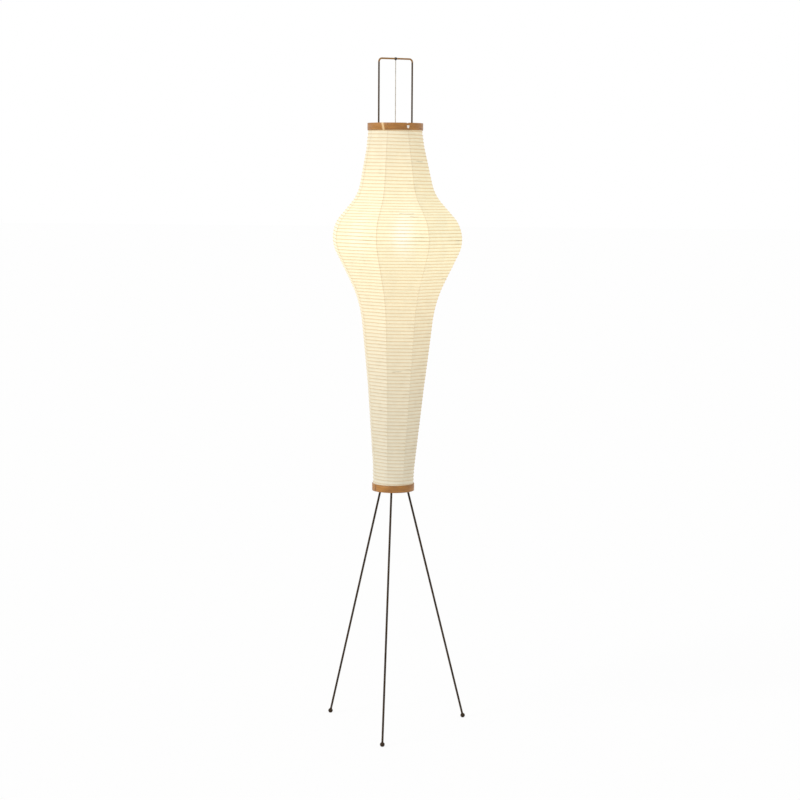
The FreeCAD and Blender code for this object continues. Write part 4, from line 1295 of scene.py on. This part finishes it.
@dataclass
class WoodRing:
    """A strip of wood bent to a ring, its lapped ends held by tacks. Sizes in millimetres."""

    name: str
    node: str
    body: Body
    radius: float
    low: float
    height: float
    lap_start: float
    lap_angle: float
    notches: tuple[float, ...] = ()
    scarf: float = 0.0  # degrees over which the lapped end is pared thin
    square_end: float = 0.9  # degrees over which an end that isn't pared steps down
    wall: float = 2.0
    rise: float = 0.5
    ease: float = 0.45
    notch_w: float = 5.0
    notch_depth: float = 1.3
    uneven: float = 0.12
    tack_r: float = 0.8
    segments: int = 432

    def lap(self, angle: float) -> float:
        """How proud the lapped end stands.

        Args:
            angle: Angle round the ring in degrees.

        Returns:
            A share of the rise: 1 between the end's two pared edges, and 0 beside the lap.
        """
        away = (angle - self.lap_start) % 360
        if away > self.lap_angle:
            return 0.0
        return min(1.0, away / max(self.scarf, self.square_end), (self.lap_angle - away) / self.square_end)

    def lap_marks(self, angle: float, height: float) -> Pair:
        """What shows at the lapped ends: pale pared wood with a painted highlight, and the dark joint with
        painted shade.

        Args:
            angle: Angle round the ring in degrees.
            height: Millimetres over the ring's lower rim.

        Returns:
            How far the pared wood and its painted highlight cover it, and the joint's dark line and painted
            shade.
        """
        # the pared edge leans by 3 degrees over the strip's height
        lean = 3.0 * (height / self.height - 0.5)
        pared = apart(angle + lean, self.lap_start + self.scarf / 2)
        pared_highlight_share = min(max((self.scarf / 2 - pared) / 0.8 + 0.5, 0.0), 1.0) if self.scarf else 0.0
        return pared_highlight_share, min(max((1.2 - apart(angle, self.lap_start + self.lap_angle)) / 0.8, 0.0), 1.0)

    def notch(self, angle: float) -> float:
        """Depth of a rim notch at an angle, in millimetres."""
        reach = math.degrees(self.notch_w / 2 / self.radius)
        return self.notch_depth if any(apart(angle, place) < reach for place in self.notches) else 0.0

    def build(self, finish: Material, tacks: Material) -> None:
        """Makes the ring and its tacks.

        Args:
            finish: The wood.
            tacks: The tacks' metal.
        """
        points: list[Vector] = []
        strip: list[Pair] = []
        laps: list[Pair] = []
        ease, inner = self.ease, self.radius - self.wall
        for angle in (360 * k / self.segments for k in range(self.segments)):
            outer = self.radius + self.rise * self.lap(angle)
            tall = self.height - self.notch(angle)
            sag = self.uneven * math.sin(math.radians(2 * angle + 40))
            for r, z in ((outer - ease, 0.0), (outer, ease), (outer, self.height / 2), (outer, tall - ease),
                         (outer - ease, tall), (inner + ease, tall), (inner, tall - ease), (inner, ease),
                         (inner + ease, 0.0)):
                points.append(on_axis(r, angle, self.low + z + sag))
                strip.append((math.radians(angle) * self.radius, z))
                laps.append(self.lap_marks(angle, z) if r > self.radius - 1 else (0.0, 0.0))
        ring = new_piece(self.name, skinned(points, len(points) // self.segments, True), finish, 50.0)
        set_maps(ring.data, strip=strip, laps=laps)
        settle(ring, self.body, "bentwood", self.node)
        spots, ways = [], []
        for away in (self.lap_angle - 3.2, self.lap_angle - 9.0, 12.0):
            for share in (0.25, 0.75):
                angle = self.lap_start + away
                spots.append(on_axis(self.radius + self.rise, angle, self.low + share * self.height))
                ways.append(Vector((math.cos(math.radians(angle)), math.sin(math.radians(angle)), 0)))
        piece = TackRule(self.tack_r * MM).run(self.name + "_tacks", guide_points(spots, ways), tacks)
        settle(piece, self.body, "hook_wire")


@dataclass
class Rigging:
    """The cords that hold the shade up. Sizes in millimetres."""

    cord_d: float = 2.4
    bridle_d: float = 1.8
    hook_z: float = 1675.0
    bar_z: float = 1848.0
    bar_reach: float = 3.85
    ring_r: float = 75.75
    bridle_turn: float = 122.5
    hole_z: float = 1664.0
    rise: float = 2.0
    knot: float = 2.5
    knot_thread: float = 1.3
    tail_thread: float = 0.8

    def make_cord(self, name: str, node: str, body: Body | None, route: Sequence[Vector],
                  rule: StrandRule, finish: Material) -> tuple[bpy.types.Object, list[Vector]]:
        """A cord laid taut along a smooth route.

        Args:
            name: Name of the piece.
            node: Node that it replaces.
            body: Body it rides on, or None where it hangs between two.
            route: Points that steer its line, in metres.
            rule: How its strands are laid.
            finish: The cord's thread.

        Returns:
            The piece, and points along its line.
        """
        line = [v.co.copy() for v in settled_mesh(guide_line(route, smooth=True)).vertices]
        piece = settle(rule.run(name, guide_line(line), finish), body, "twine", node)
        return piece, line

    def make_hanging_string(self, finish: Material) -> None:
        """The straight cord from the bar down to the hook.

        Args:
            finish: The cord's thread.
        """
        low, high = self.hook_z, self.bar_z - self.bar_reach
        route = [on_axis(0, 0, high - (high - low) * share) for share in (0, 0.25, 0.5, 0.75, 1)]
        rule = StrandRule(3, offset=0.56 * MM, thickness=0.64 * MM, lay_length=7.0 * MM)
        piece, line = self.make_cord("hanging_cord", "hanging_string", None, route, rule, finish)
        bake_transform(piece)

    def make_bridle(self, finish: Material) -> None:
        """The cord across the top ring, lifted in its middle by the hook.

        Args:
            finish: The cord's thread.
        """
        middle = self.hole_z + self.rise
        reach = self.ring_r + 0.05
        route = [on_axis(r, self.bridle_turn, z)
                 for r, z in ((-reach, self.hole_z), (-1.5, middle), (1.5, middle), (reach, self.hole_z))]
        rule = StrandRule(3, offset=0.42 * MM, thickness=0.48 * MM, lay_length=5.0 * MM)
        self.make_cord("bridle_cord", "bridle_string", Body.SHADE_TOP, route, rule, finish)

    def make_knots(self, finish: Material) -> None:
        """An overhand knot outside each hole, where the bridle's ends are stopped.

        Args:
            finish: The knots' thread.
        """
        forms = []
        wide, deep = 0.42 * self.knot * MM, 0.50 * self.knot * MM
        for side in (-1, 1):
            centre = on_axis(side * (self.ring_r + 2.9), self.bridle_turn, self.hole_z)
            out = (on_axis(side, self.bridle_turn, 0) - on_axis(0, 0, 0)).normalized()
            across = UP.cross(out)
            path = [centre + across * ((math.sin(t) + 2 * math.sin(2 * t)) * wide)
                    + UP * ((math.cos(t) - 2 * math.cos(2 * t)) * wide) - out * (math.sin(3 * t) * deep)
                    for t in (2 * math.pi * k / 72 for k in range(72))]
            forms.append(tube(path, self.knot_thread * MM, 10, closed=True))
            tail = [centre + (out * (0.4 + 1.2 * k) - UP * (0.5 * k * k)) * MM for k in range(4)]
            forms.append(tube(tail, self.tail_thread * MM, 10, rounding=0.2 * MM))
        settle(new_piece("bridle_knots", joined(forms), finish), Body.SHADE_TOP, "knots", "bridle_beads")

    def build(self) -> None:
        """Makes both cords and the knots."""
        twine = SpunCord().build()
        self.make_hanging_string(twine)
        self.make_bridle(twine)
        self.make_knots(SpunCord("bleached_cotton", "#FBF8F1", "#DDD5C6", 800.0).build())


@dataclass
class LampBulb:
    """The glass globe on its cap. Sizes in millimetres."""

    seat: float = 1322.0
    centre: float = 1370.0
    radius: float = 30.0
    neck: float = 12.8
    low: float = -38.0  # degrees below the globe's middle where the neck joins it

    def build(self) -> None:
        """Blows the globe: a neck that opens into a sphere."""
        glass = Moulded("opal_glass", "#FFF3DC", "#FFE9C4", roughness=0.3, glow=1.0).build()
        levels = [(self.neck * 0.96, self.seat), (self.neck, self.seat + 1.0)]
        start = self.radius * math.cos(math.radians(self.low))
        rise = self.centre + self.radius * math.sin(math.radians(self.low)) - self.seat - 1.0
        for share in (k / 8 for k in range(1, 8)):
            ease = share * share * (3 - 2 * share)
            levels.append((self.neck + (start - self.neck) * ease, self.seat + 1.0 + rise * share))
        for k in range(25):
            lean = math.radians(self.low + (88.5 - self.low) * k / 24)
            levels.append((self.radius * math.cos(lean), self.centre + self.radius * math.sin(lean)))
        form = lathe([(r * MM, z * MM) for r, z in levels], 48)
        settle(new_piece("bulb_globe", form, glass), Body.BULB, "bulb_glass", "bulb_glass")


# Kept nodes, floor, light and camera

@dataclass
class KeptNodes:
    """Solids that stay as the frame gives them, each with its own finish."""

    nodes: dict[str, bpy.types.Object]

    def build(self) -> None:
        """Dresses every node that no piece replaces."""
        plate = BronzedSteel(Tone.PLATE, 0.45, 0.42)
        phenolic = Moulded("moulded_phenolic", "#2B2622", "#1D1A17", roughness=0.38)
        brass = Moulded("drawn_brass", "#C9A457", "#A8823C", 1.0, 0.32, 800.0)
        nickel = Moulded("nickel_plate", "#B9B4AA", "#9A948A", 1.0, 0.28, 900.0)
        zinc = Moulded("zinc_plated_steel", "#8E8B84", "#716E68", 0.9, 0.42, 700.0)
        rubber = Moulded("black_rubber", "#26241F", "#33302A", roughness=0.75, texture=350.0)
        wire = Moulded("tinned_hook_wire", "#8C8272", "#6B6256", 0.8, 0.4, 900.0)
        for finish, names in (
                (plate, "hub_plate leg_sockets upright_sockets bridge_bar bridge_ferrules ring_brackets"),
                (phenolic, "holder_cap holder_body holder_ring"), (brass, "holder_shell centre_contact"),
                (nickel, "bulb_cap"), (zinc, "holder_nipple lock_nuts"), (rubber, "cable_grommet"),
                (wire, "string_hook")):
            material = finish.build()
            for name in names.split():
                self.dress(name, material)

    def dress(self, name: str, finish: Material) -> None:
        """Gives one node its finish.

        Args:
            name: The node.
            finish: Its material.
        """
        node = self.nodes[name]
        if not node.material_slots:
            node.data.materials.append(finish)
        for slot in node.material_slots:
            slot.material = finish
        log.info("%s: %s", name, finish.name)


@dataclass
class Studio:
    """Plain pale floor, soft light from the left, and the camera at the photograph's angle."""

    sun_strength: float = 1.05
    sun_turn: float = -140.0
    sun_height: float = 40.0
    sun_spread: float = 24.0
    sun_colour: Point = (1.0, 0.985, 0.96)
    sky: float = 0.745
    floor_white: float = 0.9
    floor_half: float = 60.0
    lens: float = 90.95
    stand_off: Point = (0.6394, -5.5037, 1.5238)
    forward: Pair = (-0.1123, 0.9937)
    pitch: float = 6.24
    roll: float = 0.0062

    def make_floor(self) -> None:
        """A wide paper floor that looks white to the camera and keeps the lamp's shadow."""
        material, put = Finish().start("floor_paper")
        matt = put("BsdfDiffuse", {"Color": (0.95, 0.95, 0.95, 1)})
        white = put("Emission", {"Color": (1, 1, 1, 1), "Strength": 1.0})
        put("OutputMaterial", [put("MixShader", (self.seen(put, self.floor_white), matt, white))])
        half = self.floor_half
        corners = [Vector((x * half, y * half, 0)) for x, y in ((-1, -1), (1, -1), (1, 1), (-1, 1))]
        new_piece("floor", (corners, [(0, 1, 2, 3)]), material, face_outwards=False)

    def seen(self, put: Put, share: float) -> Socket:
        """Where a ray comes from the camera, a mirror or glass.

        Args:
            put: Adds a node.
            share: Value there; elsewhere it is 0.

        Returns:
            The value's socket.
        """
        path = put("LightPath").node.outputs
        first = put("Math", (path["Is Camera Ray"], path["Is Glossy Ray"]), operation="MAXIMUM")
        every = put("Math", (first, path["Is Transmission Ray"]), operation="MAXIMUM")
        return put("Math", (every, share), operation="MULTIPLY")

    def make_light(self) -> None:
        """A plain sky and one broad light from the left."""
        world = bpy.data.worlds.new("studio")
        bpy.context.scene.world = world
        world.use_nodes = True
        world.node_tree.nodes.clear()
        put = partial(add_node, world.node_tree)
        level = put("Math", (self.seen(put, 1.0 - self.sky), self.sky), operation="ADD")
        put("OutputWorld", [put("Background", {"Color": (1, 1, 1, 1), "Strength": level})])
        lamp = bpy.data.lights.new("window_light", "SUN")
        lamp.energy = self.sun_strength
        lamp.angle = math.radians(self.sun_spread)
        lamp.color = self.sun_colour
        a, e = math.radians(self.sun_turn), math.radians(self.sun_height)
        back = Vector((math.cos(a) * math.cos(e), math.sin(a) * math.cos(e), math.sin(e)))
        placed("window_light", lamp).rotation_euler = back.to_track_quat("Z", "Y").to_euler()

    def make_camera(self) -> None:
        """The photograph's viewpoint."""
        camera = bpy.data.cameras.new("camera")
        camera.lens = self.lens
        camera.sensor_width = 36.0
        camera.clip_end = 400.0
        eye = placed("camera", camera)
        level, fall = math.cos(math.radians(self.pitch)), math.sin(math.radians(self.pitch))
        ahead = Vector((self.forward[0] * level, self.forward[1] * level, -fall)).normalized()
        right = ahead.cross(UP).normalized()
        up = right.cross(ahead)
        tilted = right * math.cos(self.roll) + up * math.sin(self.roll)
        over = up * math.cos(self.roll) - right * math.sin(self.roll)
        turn = Matrix((tilted, over, -ahead)).transposed().to_4x4()
        eye.matrix_world = Matrix.Translation(Vector(self.stand_off) + Vector((0, AXIS_Y, 0))) @ turn
        bpy.context.scene.camera = eye

    def build(self) -> None:
        """Makes the floor, the light and the camera."""
        self.make_camera()
        self.make_floor()
        self.make_light()
        bpy.context.scene.view_settings.view_transform = "Standard"


def main() -> None:
    """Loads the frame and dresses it."""
    logging.basicConfig(level=logging.INFO, format="%(name)s %(message)s")
    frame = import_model()
    Studio().build()
    Rigging().build()
    Stand().build()
    PaperShade().build()
    wood = Bentwood().build()
    tack = Moulded("blued_tack", "#5B5248", "#3B352E", 0.8, 0.4, 900.0).build()
    WoodRing("top_hoop", "top_ring", Body.SHADE_TOP, radius=75.75, low=1655.0, height=19.5, lap_start=-111.5,
             lap_angle=96.0, notches=(-57.5, 122.5), scarf=4.5).build(wood, tack)
    WoodRing("bottom_hoop", "bottom_ring", Body.STAND, radius=58.0, low=667.3, height=19.7, lap_start=140.5,
             lap_angle=80.0).build(wood, tack)
    LampBulb().build()
    KeptNodes(frame["nodes"]).build()


if __name__ == "__main__":
    main()
